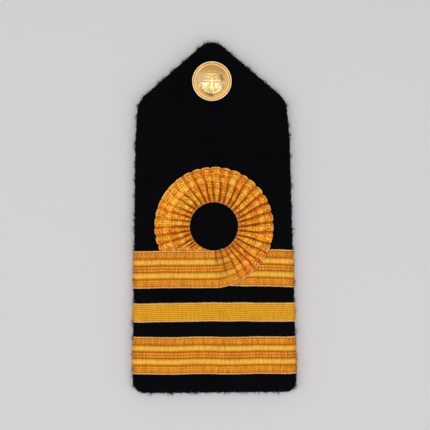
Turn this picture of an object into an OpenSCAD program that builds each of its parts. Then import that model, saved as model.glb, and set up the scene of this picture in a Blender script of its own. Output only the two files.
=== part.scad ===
// Naval officer's hard shoulder board: a stiff cloth-covered board with a pointed neck end, three
// rows of gold lace, a gathered curl on the upper row, a gilt anchor button and a tongue strap below.
// Millimetres. It lies on its back: +Y points to the neck end, +Z out of the cloth face.

/* [Board] */
// Length from the square shoulder end to the rounded tip
board_length = 133.6; // [125:0.2:145]
// Width across the square end
end_width = 62.4; // [58:0.2:66]
// Width where the sides start to draw in, near the neck end
knee_width = 58.8; // [57.6:0.2:61]
// Width where the two slanted edges of the point begin
shoulder_width = 56.3; // [52:0.1:57]
// Distance from the slanted edges back to the knee of each side
knee_drop = 15.8; // [9:0.2:18]
// Angle between the two slanted edges at the tip
tip_angle = 98.6; // [84:0.2:108]
// Thickness of the stiffener with its cloth
board_thickness = 4.1; // [3.6:0.1:5]

/* [Board corners] */
// Radius of the tip
tip_radius = 6.2; // [5:0.1:9]
// Radius of the corners where the point begins
shoulder_radius = 9; // [4.4:0.1:10]
// Radius of the two corners of the square end
end_radius = 4.4; // [4.3:0.1:6.5]
// How far in from the edge the padded top starts to roll over
edge_roll = 4; // [2.5:0.1:4.2]
// Depth of that roll
edge_drop = 2.6; // [1.6:0.1:2.8]
// Radius of the edge on the underside
under_radius = 1.2; // [0.8:0.1:1.5]

/* [Lace] */
// Width of the wide lace
lace_width = 14.2; // [12.5:0.1:15]
// Width of the narrow half lace
half_lace_width = 7.3; // [5.5:0.1:8.5]
// Thickness of the woven lace
lace_thickness = 0.6; // [0.5:0.05:0.9]
// Bare cloth between the square end and the lowest lace
lace_margin = 7.15; // [6.5:0.05:8.5]
// Bare cloth between one row of lace and the next
lace_space = 5.7; // [4.5:0.05:7]
// How far each end of the lace is turned in under the board
lace_return = 7; // [4.5:0.1:9]
// Number of woven cords across the half lace
half_lace_cords = 8; // [6:1:10]

/* [Curl] */
// Diameter of the open hole in the curl
curl_hole = 18.3; // [16:0.1:20]
// How much narrower the gathers make the lace
gather_loss = 0.7; // [0.2:0.05:1.2]
// Height of a gather at the hole
gather_inner = 1.1; // [0.5:0.05:1.4]
// Height of a gather at the outer edge
gather_outer = 0.45; // [0.2:0.05:0.6]
// Depth of the scallop that each gather makes in the outer edge
scallop = 0.45; // [0.1:0.05:0.6]
// Distance of the curl's centre to the right of the board's centreline
curl_offset = 0.3; // [-1:0.1:1]
// How far the lace takes to climb onto a layer that lies under it
climb = 2.2; // [1.6:0.1:3]

/* [Button] */
// Diameter over the rim
button_diameter = 15; // [14:0.1:16.5]
// Distance from the tip to the button's centre
button_from_tip = 15.1; // [13.5:0.1:18]
// Width of the rim
rim_width = 1.15; // [1:0.05:1.4]
// Height of the rim above the web inside it
rim_rise = 0.4; // [0.25:0.05:0.6]
// Height of the dome above that web
dome_height = 2.4; // [1.8:0.1:3.2]
// Thickness of the stamped metal
shell_wall = 0.45; // [0.35:0.05:0.6]
// Height of the raised device on the dome
relief = 0.35; // [0.2:0.05:0.5]
// Thickness of the back disc
back_thickness = 0.7; // [0.5:0.05:0.9]
// Diameter of the post that goes through the board
post_diameter = 3; // [2.4:0.1:4]

/* [Tongue] */
// Width of the strap under the board
tongue_width = 19; // [16:0.5:26]
// Thickness of its leather
tongue_thickness = 1.2; // [1:0.1:1.6]
// Distance from the square end to the sewn end of the strap
tongue_margin = 14; // [11:0.5:24]
// Leather left beyond the post at the free end
tongue_beyond = 7; // [5:0.5:9]

/* [Hidden] */
$fn = 64;
// Air left between two pieces that lie on each other
clearance = 0.1;

// Levels of the board's two faces above the surface that the strap lies on
under_z = tongue_thickness + clearance;
top_z = under_z + board_thickness;

// Places along the board
end_y = -board_length / 2;
lower_lace_y = end_y + lace_margin;
half_lace_y = lower_lace_y + lace_width + lace_space;
upper_lace_y = half_lace_y + half_lace_width + lace_space;
upper_lace_top = upper_lace_y + lace_width;
button_y = board_length / 2 - button_from_tip;

// Heights of the outline's sharp corners
half_tip = tip_angle / 2;
sharp_tip_y = board_length / 2 + tip_radius * (1 / sin(half_tip) - 1);
shoulder_y = sharp_tip_y - shoulder_width / 2 / tan(half_tip);
knee_y = shoulder_y - knee_drop;

// The knee is rounded over a fifth of the stretch above it
knee_turn = atan2(knee_width - shoulder_width, 2 * knee_drop)
    - atan2(end_width - knee_width, 2 * (knee_y - end_y));
knee_radius = knee_drop / 5 / tan(abs(knee_turn) / 2);

// Corners clockwise from the tip: [x, y, radius]
right_corners = [
    [shoulder_width / 2, shoulder_y, shoulder_radius],
    [knee_width / 2, knee_y, knee_radius],
    [end_width / 2, end_y, end_radius],
];
corners = concat(
    [[0, sharp_tip_y, tip_radius]],
    right_corners,
    [for (i = [len(right_corners) - 1:-1:0]) [-right_corners[i].x, right_corners[i].y, right_corners[i].z]]);

// The rolled edge stays inside the tightest corner and above the rounded underside
corner_room = min(tip_radius, shoulder_radius, end_radius) - 0.3;
roll = min(edge_roll, corner_room);
drop = min(edge_drop, board_thickness - under_radius - 0.2);

// Columns of the outline (a point and its outward direction), of the edge in section (distance
// in from the edge, height and outward direction), and of the short tables below
PX = 0; PY = 1; OX = 2; OY = 3;
INSET = 0; RISE = 1; OUT = 2; UP = 3;
SHARE = 0; LEVEL = 1;

function unit(v) = v / norm(v);
function mix(a, b, t) = a + (b - a) * t;
function smooth(from, to, x) = let (t = max(0, min(1, (x - from) / (to - from)))) t * t * (3 - 2 * t);

// One rounded corner of the outline, in steps of about 12 degrees. A corner that points into the
// board, such as a narrow knee, is rounded from outside, with its outward direction kept.
corner_step = 12;
function corner_arc(i) =
    let (
        count = len(corners),
        point = [corners[i].x, corners[i].y],
        radius = corners[i].z,
        before = corners[(i + count - 1) % count],
        after = corners[(i + 1) % count],
        to_before = unit([before.x, before.y] - point),
        to_after = unit([after.x, after.y] - point),
        bend = cross(to_before, to_after) > 0 ? 1 : -1,
        between = unit(to_before + to_after),
        half_angle = acos(to_before * between),
        centre = point + between * radius / sin(half_angle),
        turn = 180 - 2 * half_angle,
        middle = atan2(-between.y, -between.x),
        steps = max(1, ceil(turn / corner_step))
    )
    [for (k = [0:steps])
        let (a = middle + bend * turn * (0.5 - k / steps))
        [centre.x + radius * cos(a), centre.y + radius * sin(a), bend * cos(a), bend * sin(a)]];

outline = [for (i = [0:len(corners) - 1]) each corner_arc(i)];

// Half the board's width at a height along it, with the rounded end corner taken off
function half_width(y) =
    let (
        side = mix(end_width, knee_width, (y - end_y) / (knee_y - end_y)) / 2,
        into_corner = max(0, end_radius - (y - end_y))
    )
    side - (end_radius - sqrt(end_radius * end_radius - into_corner * into_corner));

// The edge in section, from the underside round to the flat top
edge_profile = concat(
    [for (a = [-90:30:0]) [under_radius * (1 - cos(a)), under_radius * (1 + sin(a)), cos(a), sin(a)]],
    [for (a = [0:15:90])
        let (out = unit([drop * cos(a), roll * sin(a)]))
        [roll * (1 - cos(a)), board_thickness - drop * (1 - sin(a)), out.x, out.y]]);

// A solid skinned over rings of points that have the same count, with a flat face at each end
module skin(rings) {
    n = len(rings[0]);
    last = (len(rings) - 1) * n;
    sides = [for (base = [0:n:last - n], k = [0:n - 1])
        let (a = base + k, b = base + (k + 1) % n)
        each [[a, b, a + n], [b, b + n, a + n]]];
    ends = [[for (k = [n - 1:-1:0]) k], [for (k = [0:n - 1]) last + k]];
    polyhedron([for (r = rings) each r], concat(ends, sides), convexity = 10);
}

module post_hole(from_z, depth) {
    translate([0, button_y, from_z - clearance])
        cylinder(d = post_diameter + 2 * clearance, h = depth + 2 * clearance);
}

module cloth_board() {
    color("#111116")
    difference() {
        skin([for (row = edge_profile)
            [for (p = outline)
                [p[PX] - p[OX] * row[INSET], p[PY] - p[OY] * row[INSET], under_z + row[RISE]]]]);
        post_hole(under_z, board_thickness);
    }
}

// Woven relief across each lace, from its lower edge: [share of the width, share of the thickness]
wide_relief = [
    [0, 0.6], [0.045, 0.78], [0.14, 0.92], [0.24, 0.64], [0.34, 1], [0.43, 0.64], [0.52, 0.92],
    [0.61, 0.64], [0.705, 1], [0.8, 0.64], [0.88, 0.92], [0.955, 0.78], [1, 0.6],
];
// The same bands in one column each, without the grooves between them, for the side lace
side_relief = [[0, 0.6], [0.14, 0.92], [0.34, 1], [0.52, 0.9], [0.705, 1], [0.88, 0.92], [1, 0.6]];
half_relief = concat(
    [[0, 0.6]],
    [for (i = [0:half_lace_cords - 1])
        each [[(i + 0.5) / half_lace_cords, 0.95], [(i + 1) / half_lace_cords, 0.65]]]);
// The underside in the same columns: flat on a straight lace, and slightly hollow on the curl
band_under = [[1, 0], [0, 0]];
curl_under = [for (share = [1:-0.2:0]) [share, 0.5 * share * (1 - share)]];

// A ring of points round a lace's section. place turns a share of the width, a height above the
// underside, and 1 on the face or 0 on the underside into a point.
function lace_ring(place, relief_rows, under_rows) = concat(
    [for (row = relief_rows) place(row[SHARE], lace_thickness * row[LEVEL], 1)],
    [for (row = under_rows) place(row[SHARE], lace_thickness * row[LEVEL], 0)]);

// The path of a lace round the edge, from its turned-in end to the flat top
wrap_path = concat([[lace_return, 0, 0, -1]], edge_profile);
wrap_last = len(wrap_path) - 1;

// A lace's ring at one row of that path, on the left (side -1) or the right (side 1)
function wrap_ring(side, row, y_low, width, relief_rows, under_rows) =
    lace_ring(
        function (share, height, face)
            let (
                y = y_low + width * share,
                edge = half_width(row[INSET] < lace_return ? y : y_low + width / 2),
                lift = clearance + height
            )
            [side * (edge - row[INSET] + row[OUT] * lift), y, under_z + row[RISE] + row[UP] * lift],
        relief_rows, under_rows);

module lace_band(y_low, width, relief_rows) {
    skin(concat(
        [for (i = [0:wrap_last]) wrap_ring(-1, wrap_path[i], y_low, width, relief_rows, band_under)],
        [for (i = [wrap_last:-1:0]) wrap_ring(1, wrap_path[i], y_low, width, relief_rows, band_under)]));
}

module lower_lace() {
    color("#d48c2c") lace_band(lower_lace_y, lace_width, wide_relief);
}

module half_lace() {
    color("#d8a032") lace_band(half_lace_y, half_lace_width, half_relief);
}

// Curl: its hole touches the upper edge of the upper row
hole_radius = curl_hole / 2;
curl_radius = hole_radius + lace_width;
curl_x = curl_offset;
curl_y = upper_lace_top + hole_radius;
layer = lace_thickness + clearance;
// Lace kept level beyond the edge of a layer before it climbs down
cover = 0.4;
// The side lace starts under the curl, just past its centre
side_lace_x = curl_x + 2.5;

// Creases of the gathers, in the order that they are sewn: [number, angle]
creases = [[0, -86.5], [2, -62.5], [8, -11], [16, 67], [23, 139], [30, 209.5], [33, 233], [36, 262]];
// How far a crease leans from the hole to the outer edge: [number, degrees]
crease_lean = [[0, 0], [5, 0], [9, 5.5], [18, 5], [24, 3.5], [28, 0], [36, 0]];
// Form of one gather from its crease on: [share of the pitch, share of the height]
gather_form = [[0, 0], [0.14, 0.62], [0.36, 1], [0.64, 1], [0.86, 0.62]];
gather_count = creases[len(creases) - 1][SHARE];
// The gathers reach their full form after this many, and start at this share of their height
gathers_to_full = 4;
first_gather = 0.35;

// Share of a layer's height by which the curl is lifted by its own tail, and by the side lace
function over_tail(x, y) =
    1 - smooth(curl_radius + cover, curl_radius + cover + climb, norm([x - curl_x, y - curl_y]));
function over_row(y) = 1 - smooth(upper_lace_top + cover, upper_lace_top + cover + climb, y);

// The curl lace's ring where it lies flat along the row
function flat_ring(x) =
    lace_ring(
        function (share, height, face)
            let (y = upper_lace_y + lace_width * share)
            [x, y, top_z + clearance + layer * over_tail(x, y) + height],
        wide_relief, curl_under);

// The curl lace's ring in the gathered loop: i counts the creases, form is a row of gather_form
function gather_ring(i, form) =
    let (
        number = i + form[SHARE],
        angle = lookup(number, creases),
        lean = lookup(number, crease_lean),
        gathered = smooth(0, gathers_to_full, number),
        outer = curl_radius - gathered * (gather_loss + scallop * (1 - form[LEVEL])),
        tall = form[LEVEL] * mix(first_gather, 1, gathered),
        is_tail = number > gather_count / 2
    )
    lace_ring(
        function (share, height, face)
            let (
                r = mix(outer, hole_radius, share),
                a = angle + lean * (1 - share),
                x = curl_x + r * cos(a),
                y = curl_y + r * sin(a),
                pressed = is_tail ? over_row(y) : 0,
                lifted = is_tail ? 0 : over_row(y),
                gather = face * tall * (1 - pressed) * mix(gather_outer, gather_inner, sqrt(share))
            )
            [x, y, top_z + clearance + layer * lifted + gather + height],
        wide_relief, curl_under);

module curl_lace() {
    flat_from = roll - half_width(upper_lace_y + lace_width / 2);
    flat_steps = 20;
    color("#d98f2b")
    skin(concat(
        [for (row = wrap_path) wrap_ring(-1, row, upper_lace_y, lace_width, wide_relief, curl_under)],
        [for (k = [1:flat_steps]) flat_ring(mix(flat_from, curl_x, k / flat_steps))],
        [for (i = [0:gather_count - 1], form = gather_form) gather_ring(i, form)],
        [gather_ring(gather_count, gather_form[0])]));
}

// The rest of the upper row, from under the curl round the right edge
module side_lace() {
    start = lace_ring(
        function (share, height, face)
            [side_lace_x, upper_lace_y + lace_width * share, top_z + clearance + height],
        side_relief, band_under);
    color("#d48c2c")
    skin(concat(
        [start],
        [for (i = [wrap_last:-1:0])
            wrap_ring(1, wrap_path[i], upper_lace_y, lace_width, side_relief, band_under)]));
}

// Button. The stamped shell has a domed face, a flat web and a rolled rim with a skirt, and the
// back disc fits under the web.
button_radius = button_diameter / 2;
dome_radius = button_radius - rim_width;
web_z = back_thickness + clearance + shell_wall;
rim_z = web_z + rim_rise;
sphere_radius = (dome_radius * dome_radius + dome_height * dome_height) / (2 * dome_height);
sphere_z = web_z + dome_height - sphere_radius;
skirt_wall = shell_wall * 4 / 3;
skirt_inner = button_radius - skirt_wall;
// Just under half the rim's width, so that a groove shows inside it
bead_radius = 0.48 * rim_width;
button_z = top_z + clearance;

module rim_section() {
    translate([dome_radius - shell_wall, web_z - shell_wall]) square([rim_width, shell_wall]);
    translate([button_radius - bead_radius, rim_z - bead_radius]) circle(bead_radius);
    translate([skirt_inner, 0]) square([skirt_wall, rim_z - bead_radius]);
}

// Raised device, an anchor under a crown. Its lengths are shares of the dome's radius, u.
module anchor(u) {
    stock = [0.5, 0.065];
    shank = [0.055, 0.075, 0.76];
    arms = [0.68, 0.055, -0.08];
    arms_from = -0.3;
    fluke = [[0.7, -0.22], [0.66, -0.5], [0.47, -0.36]];
    ring = [0.28, 0.12, 0.06];
    shank_top = ring[0] - (ring[1] + ring[2]) / 2;
    for (side = [-1, 1]) {
        translate([side * stock[0] * u, 0]) circle(1.25 * stock[1] * u);
        polygon([for (p = fluke) [side * p.x * u, p.y * u]]);
    }
    translate([-stock[0] * u, -stock[1] * u]) square([2 * stock[0] * u, 2 * stock[1] * u]);
    polygon([[-shank[0] * u, shank_top * u], [shank[0] * u, shank_top * u],
        [shank[1] * u, -shank[2] * u], [-shank[1] * u, -shank[2] * u]]);
    difference() {
        translate([0, arms[2] * u]) circle((arms[0] + arms[1]) * u);
        translate([0, arms[2] * u]) circle((arms[0] - arms[1]) * u);
        translate([-u, arms_from * u]) square([2 * u, 2 * u]);
    }
    translate([0, ring[0] * u]) difference() {
        circle(ring[1] * u);
        circle(ring[2] * u);
    }
}

module crown(u) {
    foot = [0.27, 0.42, 0.08];
    arch = [0.18, 0.56, 0.11];
    top_ball = [0.7, 0.055];
    translate([-foot[0] * u, foot[1] * u]) square([2 * foot[0] * u, foot[2] * u]);
    for (k = [-1:1]) translate([k * arch[0] * u, arch[1] * u]) circle(arch[2] * u);
    translate([0, top_ball[0] * u]) circle(top_ball[1] * u);
}

// The dome's sphere, or one that lies over or under it, with its poles at the sides
module dome_sphere(over) {
    translate([0, 0, sphere_z]) rotate([0, 90, 0]) sphere(sphere_radius + over, $fn = 180);
}

module button_shell() {
    color("#e3b257")
    translate([0, button_y, button_z]) {
        rotate_extrude() rim_section();
        difference() {
            union() {
                intersection() {
                    dome_sphere(0);
                    translate([0, 0, web_z - shell_wall]) cylinder(r = button_radius, h = 2 * dome_height);
                }
                intersection() {
                    dome_sphere(relief);
                    translate([0, 0, web_z]) linear_extrude(2 * dome_height) {
                        anchor(dome_radius);
                        crown(dome_radius);
                    }
                }
            }
            dome_sphere(-shell_wall);
        }
    }
}

// Back disc and post in one piece. The post ends just inside the strap's lower face.
module button_back() {
    post_z = clearance / 2;
    color("#c9a24c")
    translate([0, button_y, 0]) {
        translate([0, 0, button_z]) cylinder(r = dome_radius - clearance, h = back_thickness);
        translate([0, 0, post_z]) cylinder(d = post_diameter, h = button_z + back_thickness / 2 - post_z);
    }
}

module tongue_strap() {
    sewn_y = end_y + tongue_margin;
    round_y = button_y + tongue_beyond - tongue_width / 2;
    color("#1d1a18")
    difference() {
        union() {
            translate([-tongue_width / 2, sewn_y]) cube([tongue_width, round_y - sewn_y, tongue_thickness]);
            translate([0, round_y]) cylinder(d = tongue_width, h = tongue_thickness);
        }
        post_hole(0, tongue_thickness);
    }
}

cloth_board();
lower_lace();
half_lace();
side_lace();
curl_lace();
button_shell();
button_back();
tongue_strap();
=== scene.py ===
"""A naval officer's hard shoulder board with a gold lace curl and an anchor button, seen from above."""
import logging
import math
from collections.abc import Callable, Sequence
from dataclasses import dataclass
from enum import Enum
from typing import NamedTuple

import bpy
import numpy as np
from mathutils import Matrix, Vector


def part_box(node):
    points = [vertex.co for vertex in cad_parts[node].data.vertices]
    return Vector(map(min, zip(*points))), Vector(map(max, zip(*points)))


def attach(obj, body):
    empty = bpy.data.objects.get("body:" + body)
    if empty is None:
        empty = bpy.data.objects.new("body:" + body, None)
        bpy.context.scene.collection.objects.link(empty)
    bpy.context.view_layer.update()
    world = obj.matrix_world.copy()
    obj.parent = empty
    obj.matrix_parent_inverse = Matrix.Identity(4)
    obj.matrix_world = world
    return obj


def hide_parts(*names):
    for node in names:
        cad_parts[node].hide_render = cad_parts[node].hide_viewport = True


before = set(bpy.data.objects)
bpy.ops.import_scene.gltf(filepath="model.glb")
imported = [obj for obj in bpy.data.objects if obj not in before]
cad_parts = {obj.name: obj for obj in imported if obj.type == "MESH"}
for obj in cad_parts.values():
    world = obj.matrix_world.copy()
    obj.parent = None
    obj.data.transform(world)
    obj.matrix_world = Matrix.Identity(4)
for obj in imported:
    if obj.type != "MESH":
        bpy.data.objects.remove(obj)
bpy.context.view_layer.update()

LOG = logging.getLogger("shoulder_board")
MM = 0.001
CLEARANCE = 0.1
BODY = "root"
NARROWEST_SHEET = 0.01

Array = np.ndarray
Faces = list[tuple[int, ...]]
Socket = bpy.types.NodeSocket
Colour = tuple[float, float, float]
Stops = list[tuple[float, Colour]]
BLACK: Colour = (0.0, 0.0, 0.0)
WHITE: Colour = (1.0, 1.0, 1.0)


class Slot(Enum):
    """The material slots."""

    CLOTH = "cloth"
    LACE = "lace"
    GILT = "gilt"
    LEATHER = "leather"


class Weave(Enum):
    """How a band of the lace is woven."""

    GROOVE = "groove"
    EDGE = "edge"
    CORD = "cord"
    SPOTTED = "spotted"
    SATIN = "satin"


class Held(Enum):
    """How a sheet of cloth or leather is held."""

    STRETCHED = "stretched"
    GATHERED = "gathered"
    LAID = "laid"


class Side(Enum):
    """A side of the board, seen from above with the point away."""

    LEFT = -1
    RIGHT = 1


# Shared arithmetic


def srgb(red: int, green: int, blue: int) -> Colour:
    """A display colour from 0 to 255 as linear light."""
    return tuple(c / 255 / 12.92 if c <= 10 else ((c / 255 + 0.055) / 1.055) ** 2.4
                 for c in (red, green, blue))


def ease(start: float, end: float, x: Array | float) -> Array:
    """A smooth step from 0 at start to 1 at end."""
    t = np.clip((np.asarray(x, float) - start) / (end - start), 0, 1)
    return t * t * (3 - 2 * t)


def mix(a: Array | float, b: Array | float, t: Array | float) -> Array:
    """a where t is 0 and b where t is 1."""
    return a + (b - a) * t


def bell(distance: Array, size: float | Array) -> Array:
    """A soft spot: 1 in the middle, and nearly 0 at twice the size."""
    return np.exp(-((distance / size) ** 2))


@dataclass(frozen=True)
class Wobble:
    """A smooth hand-made unevenness along a line, the same on every run."""

    seed: int
    wavelength: float
    size: float
    waves: int = 5

    def __call__(self, place: Array) -> Array:
        """Returns the offset at each place.

        Args:
            place: distances along the line, in the unit of wavelength.

        Returns:
            Offsets within about plus and minus size.
        """
        random = np.random.default_rng(self.seed)
        total = np.zeros_like(np.asarray(place, float))
        for _ in range(self.waves):
            wave = self.wavelength * random.uniform(0.55, 1.8)
            total = total + np.sin(2 * math.pi * (place / wave + random.random()))
        return self.size * total / math.sqrt(self.waves)


# Meshes


def add_mesh(name: str, points: Array, faces: Sequence[Sequence[int]]) -> bpy.types.Object:
    """Makes a smooth-shaded object from points in millimetres.

    Args:
        name: the object's name.
        points: one row of x, y and z for each vertex.
        faces: the vertex numbers of each face.

    Returns:
        The new object, linked to the scene.
    """
    mesh = bpy.data.meshes.new(name)
    mesh.from_pydata((np.asarray(points, float) * MM).tolist(), [], faces)
    mesh.polygons.foreach_set("use_smooth", np.ones(len(mesh.polygons), bool))
    mesh.update()
    made = bpy.data.objects.new(name, mesh)
    bpy.context.scene.collection.objects.link(made)
    return made


def ring_faces(rings: int, count: int) -> Faces:
    """Quads over rings of the same number of points, with a face across each open end."""
    k = np.arange(count)
    base = np.arange(rings - 1)[:, None] * count
    a, b = base + k, base + (k + 1) % count
    quads = np.stack([a, b, b + count, a + count], axis=-1).reshape(-1, 4)
    last = (rings - 1) * count
    ends = [tuple(k[::-1].tolist()), tuple((last + k).tolist())]
    return [tuple(q) for q in quads.tolist()] + ends


def keep_values(piece: bpy.types.Object, name: str, values: Array) -> None:
    """Stores a vector for each vertex, which the piece's material reads by that name."""
    layer = piece.data.attributes.new(name, "FLOAT_VECTOR", "POINT")
    layer.data.foreach_set("vector", np.asarray(values, np.float32).ravel())


def place_piece(piece: bpy.types.Object, material: bpy.types.Material, slot: Slot, *nodes: str) -> None:
    """Dresses a piece, lets it ride on the board, and lets it stand for the model's nodes.

    Args:
        piece: the finished object.
        material: its surface.
        slot: not used.
        nodes: the nodes of the model that it replaces.
    """
    piece.data.materials.append(material)
    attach(piece, BODY)
    if nodes:
        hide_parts(*nodes)
    stands_for = ", ".join(nodes) or "no node"
    LOG.info("%s: %d faces, stands for %s", piece.name, len(piece.data.polygons), stands_for)


def tapered_hairs(roots: Array, tips: Array, bow: Array, radius: Array) -> tuple[Array, Faces]:
    """Many fine hairs, each a closed three-sided spike with one bend.

    Args:
        roots: where each hair starts.
        tips: where it ends.
        bow: how far its middle is pushed off the straight line, as a vector.
        radius: its radius at the root.

    Returns:
        Points and faces of all the hairs together.
    """
    count = len(roots)
    middle = (roots + tips) / 2 + bow
    along = tips - roots
    along /= np.linalg.norm(along, axis=1, keepdims=True) + 1e-9
    helper = np.where(np.abs(along[:, 2:]) > 0.8, [[1.0, 0, 0]], [[0, 0, 1.0]])
    side = np.cross(along, helper)
    side /= np.linalg.norm(side, axis=1, keepdims=True)
    over = np.cross(along, side)
    angles = (2 * math.pi * np.arange(3) / 3)[None, :, None]
    circle = (np.cos(angles) * side[:, None] + np.sin(angles) * over[:, None]) * radius[:, None, None]
    low = roots[:, None] + circle
    mid = middle[:, None] + circle * 0.75
    points = np.concatenate([low, mid, tips[:, None]], axis=1).reshape(-1, 3)
    one = [(2, 1, 0)]
    for k in range(3):
        after = (k + 1) % 3
        one += [(k, after, 3 + after, 3 + k), (3 + k, 3 + after, 6)]
    faces = [tuple(i + 7 * n for i in face) for n in range(count) for face in one]
    return points, faces


def thread_bars(starts: Array, ends: Array, lift: Array, radius: float) -> tuple[Array, Faces]:
    """Short sewing stitches, each a round closed bar that arches from start to end.

    Args:
        starts: where the thread comes out.
        ends: where it goes in.
        lift: the direction and height of the arch, one vector for each stitch or one for all.
        radius: the thread's radius.

    Returns:
        Points and faces of all the stitches together.
    """
    steps, sides = 7, 8
    lift = np.broadcast_to(lift, starts.shape)
    share = np.linspace(0, 1, steps)
    points, faces = [], []
    for n, (start, end, up) in enumerate(zip(starts, ends, lift)):
        line = start + (end - start) * share[:, None] + up * np.sin(math.pi * share)[:, None]
        ahead = np.gradient(line, axis=0)
        ahead /= np.linalg.norm(ahead, axis=1, keepdims=True)
        across = np.cross(ahead, np.where(abs(ahead[0, 2]) > 0.9, [1.0, 0, 0], [0, 0, 1.0]))
        across /= np.linalg.norm(across, axis=1, keepdims=True)
        over = np.cross(across, ahead)
        size = radius * (0.45 + 0.55 * np.sin(math.pi * np.clip(share, 0.06, 0.94)) ** 0.35)
        turn = 2 * math.pi * np.arange(sides) / sides
        ring = np.cos(turn)[:, None] * across[:, None] + np.sin(turn)[:, None] * over[:, None]
        points.append((line[:, None] + ring * size[:, None, None]).reshape(-1, 3))
        faces += [tuple(i + n * steps * sides for i in face) for face in ring_faces(steps, sides)]
    return np.concatenate(points), faces


# Surfaces


class Value:
    """A number or colour in a node tree, which can be reckoned with like a number."""

    def __init__(self, sketch: "Sketch", socket: Socket) -> None:
        """Takes the sketch that the value belongs to, and the socket that gives it out."""
        self.sketch = sketch
        self.socket = socket

    def __add__(self, other: "Value | float") -> "Value":
        """The sum."""
        return self.sketch.math("ADD", self, other)

    def __sub__(self, other: "Value | float") -> "Value":
        """The difference."""
        return self.sketch.math("SUBTRACT", self, other)

    def __rsub__(self, other: float) -> "Value":
        """A number less this value."""
        return self.sketch.math("SUBTRACT", other, self)

    def __mul__(self, other: "Value | float") -> "Value":
        """The product."""
        return self.sketch.math("MULTIPLY", self, other)

    def __truediv__(self, other: "Value | float") -> "Value":
        """The quotient."""
        return self.sketch.math("DIVIDE", self, other)

    def __pow__(self, power: float) -> "Value":
        """The value raised to a power."""
        return self.sketch.math("POWER", self, power)

    def __gt__(self, other: float) -> "Value":
        """1 where the value is above the other, and 0 elsewhere."""
        return self.sketch.math("GREATER_THAN", self, other)

    def __abs__(self) -> "Value":
        """The value without its sign."""
        return self.sketch.math("ABSOLUTE", self)

    def sine(self) -> "Value":
        """The sine of the value in radians."""
        return self.sketch.math("SINE", self)

    def floor(self) -> "Value":
        """The whole number at or below the value."""
        return self.sketch.math("FLOOR", self)

    def fraction(self) -> "Value":
        """What is left above the whole number."""
        return self.sketch.math("FRACT", self)

    def at_least(self, low: float) -> "Value":
        """The value, or low where it is under that."""
        return self.sketch.math("MAXIMUM", self, low)

    def at_most(self, high: float) -> "Value":
        """The value, or high where it is over that."""
        return self.sketch.math("MINIMUM", self, high)


class Sketch:
    """Adds nodes to a node tree and links them."""

    def __init__(self, tree: bpy.types.NodeTree) -> None:
        """Takes the tree that the nodes go into."""
        self.tree = tree

    def feed(self, node: bpy.types.Node, inputs: dict[str | int, object]) -> None:
        """Links values into a node, or sets its own.

        Args:
            node: the node.
            inputs: a Value, number, vector or colour for each input, by name or number.
        """
        for key, value in inputs.items():
            if isinstance(value, Value):
                self.tree.links.new(value.socket, node.inputs[key])
            else:
                node.inputs[key].default_value = value

    def add(self, kind: str, settings: dict[str, object] | None = None,
            inputs: dict[str | int, object] | None = None) -> bpy.types.Node:
        """Adds a node.

        Args:
            kind: the node's type without the ShaderNode prefix.
            settings: its own properties.
            inputs: what goes into it, by name or number.

        Returns:
            The new node.
        """
        made = self.tree.nodes.new("ShaderNode" + kind)
        for key, value in (settings or {}).items():
            setattr(made, key, value)
        self.feed(made, inputs or {})
        return made

    def result(self, node: bpy.types.Node, output: str | int = 0) -> Value:
        """What a node gives out."""
        return Value(self, node.outputs[output])

    def math(self, operation: str, *values: Value | float) -> Value:
        """The result of a Math node on one or two values."""
        return self.result(self.add("Math", {"operation": operation}, dict(enumerate(values))))

    def between(self, factor: Value, first: Value, second: Value) -> Value:
        """Two values mixed by a factor."""
        return self.result(self.add("Mix", inputs={0: factor, 2: first, 3: second}))

    def blend(self, factor: Value, first: Value | Colour, second: Value | Colour) -> Value:
        """Two colours mixed by a factor."""
        first, second = (c if isinstance(c, Value) else (*c, 1.0) for c in (first, second))
        return self.result(self.add("Mix", {"data_type": "RGBA"}, {0: factor, 6: first, 7: second}), 2)

    def ramp(self, factor: Value, stops: Stops) -> Value:
        """A colour for each place on a line, with straight blends between the stops."""
        node = self.add("ValToRGB", inputs={"Fac": factor})
        elements = node.color_ramp.elements
        while len(elements) < len(stops):
            elements.new(1.0)
        for element, (place, colour) in zip(elements, stops):
            element.position = place
            element.color = (*colour, 1.0)
        return self.result(node, "Color")

    def attribute(self, name: str) -> tuple[Value, Value, Value]:
        """The three parts of a vector that the mesh holds for each vertex."""
        vector = self.result(self.add("Attribute", {"attribute_name": name}), "Vector")
        parts = self.add("SeparateXYZ", inputs={0: vector})
        return self.result(parts, "X"), self.result(parts, "Y"), self.result(parts, "Z")

    def join(self, x: Value, y: Value) -> Value:
        """Two values as one vector."""
        return self.result(self.add("CombineXYZ", inputs={0: x, 1: y}))

    def place(self) -> Value:
        """The place on the object, in metres."""
        return self.result(self.add("TexCoord"), "Object")

    def noise(self, scale: Value | float, detail: float = 2.0, vector: Value | None = None) -> Value:
        """A noise value from 0 to 1, with scale in features a metre."""
        inputs = {"Scale": scale, "Detail": detail, "Vector": vector or self.place()}
        return self.result(self.add("TexNoise", inputs=inputs), "Fac")

    def bump(self, height: Value, distance: float, strength: float = 1.0) -> Value:
        """A normal that leans with a height, whose full depth is the distance in metres."""
        inputs = {"Height": height, "Distance": distance, "Strength": strength}
        return self.result(self.add("Bump", inputs=inputs))


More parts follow.
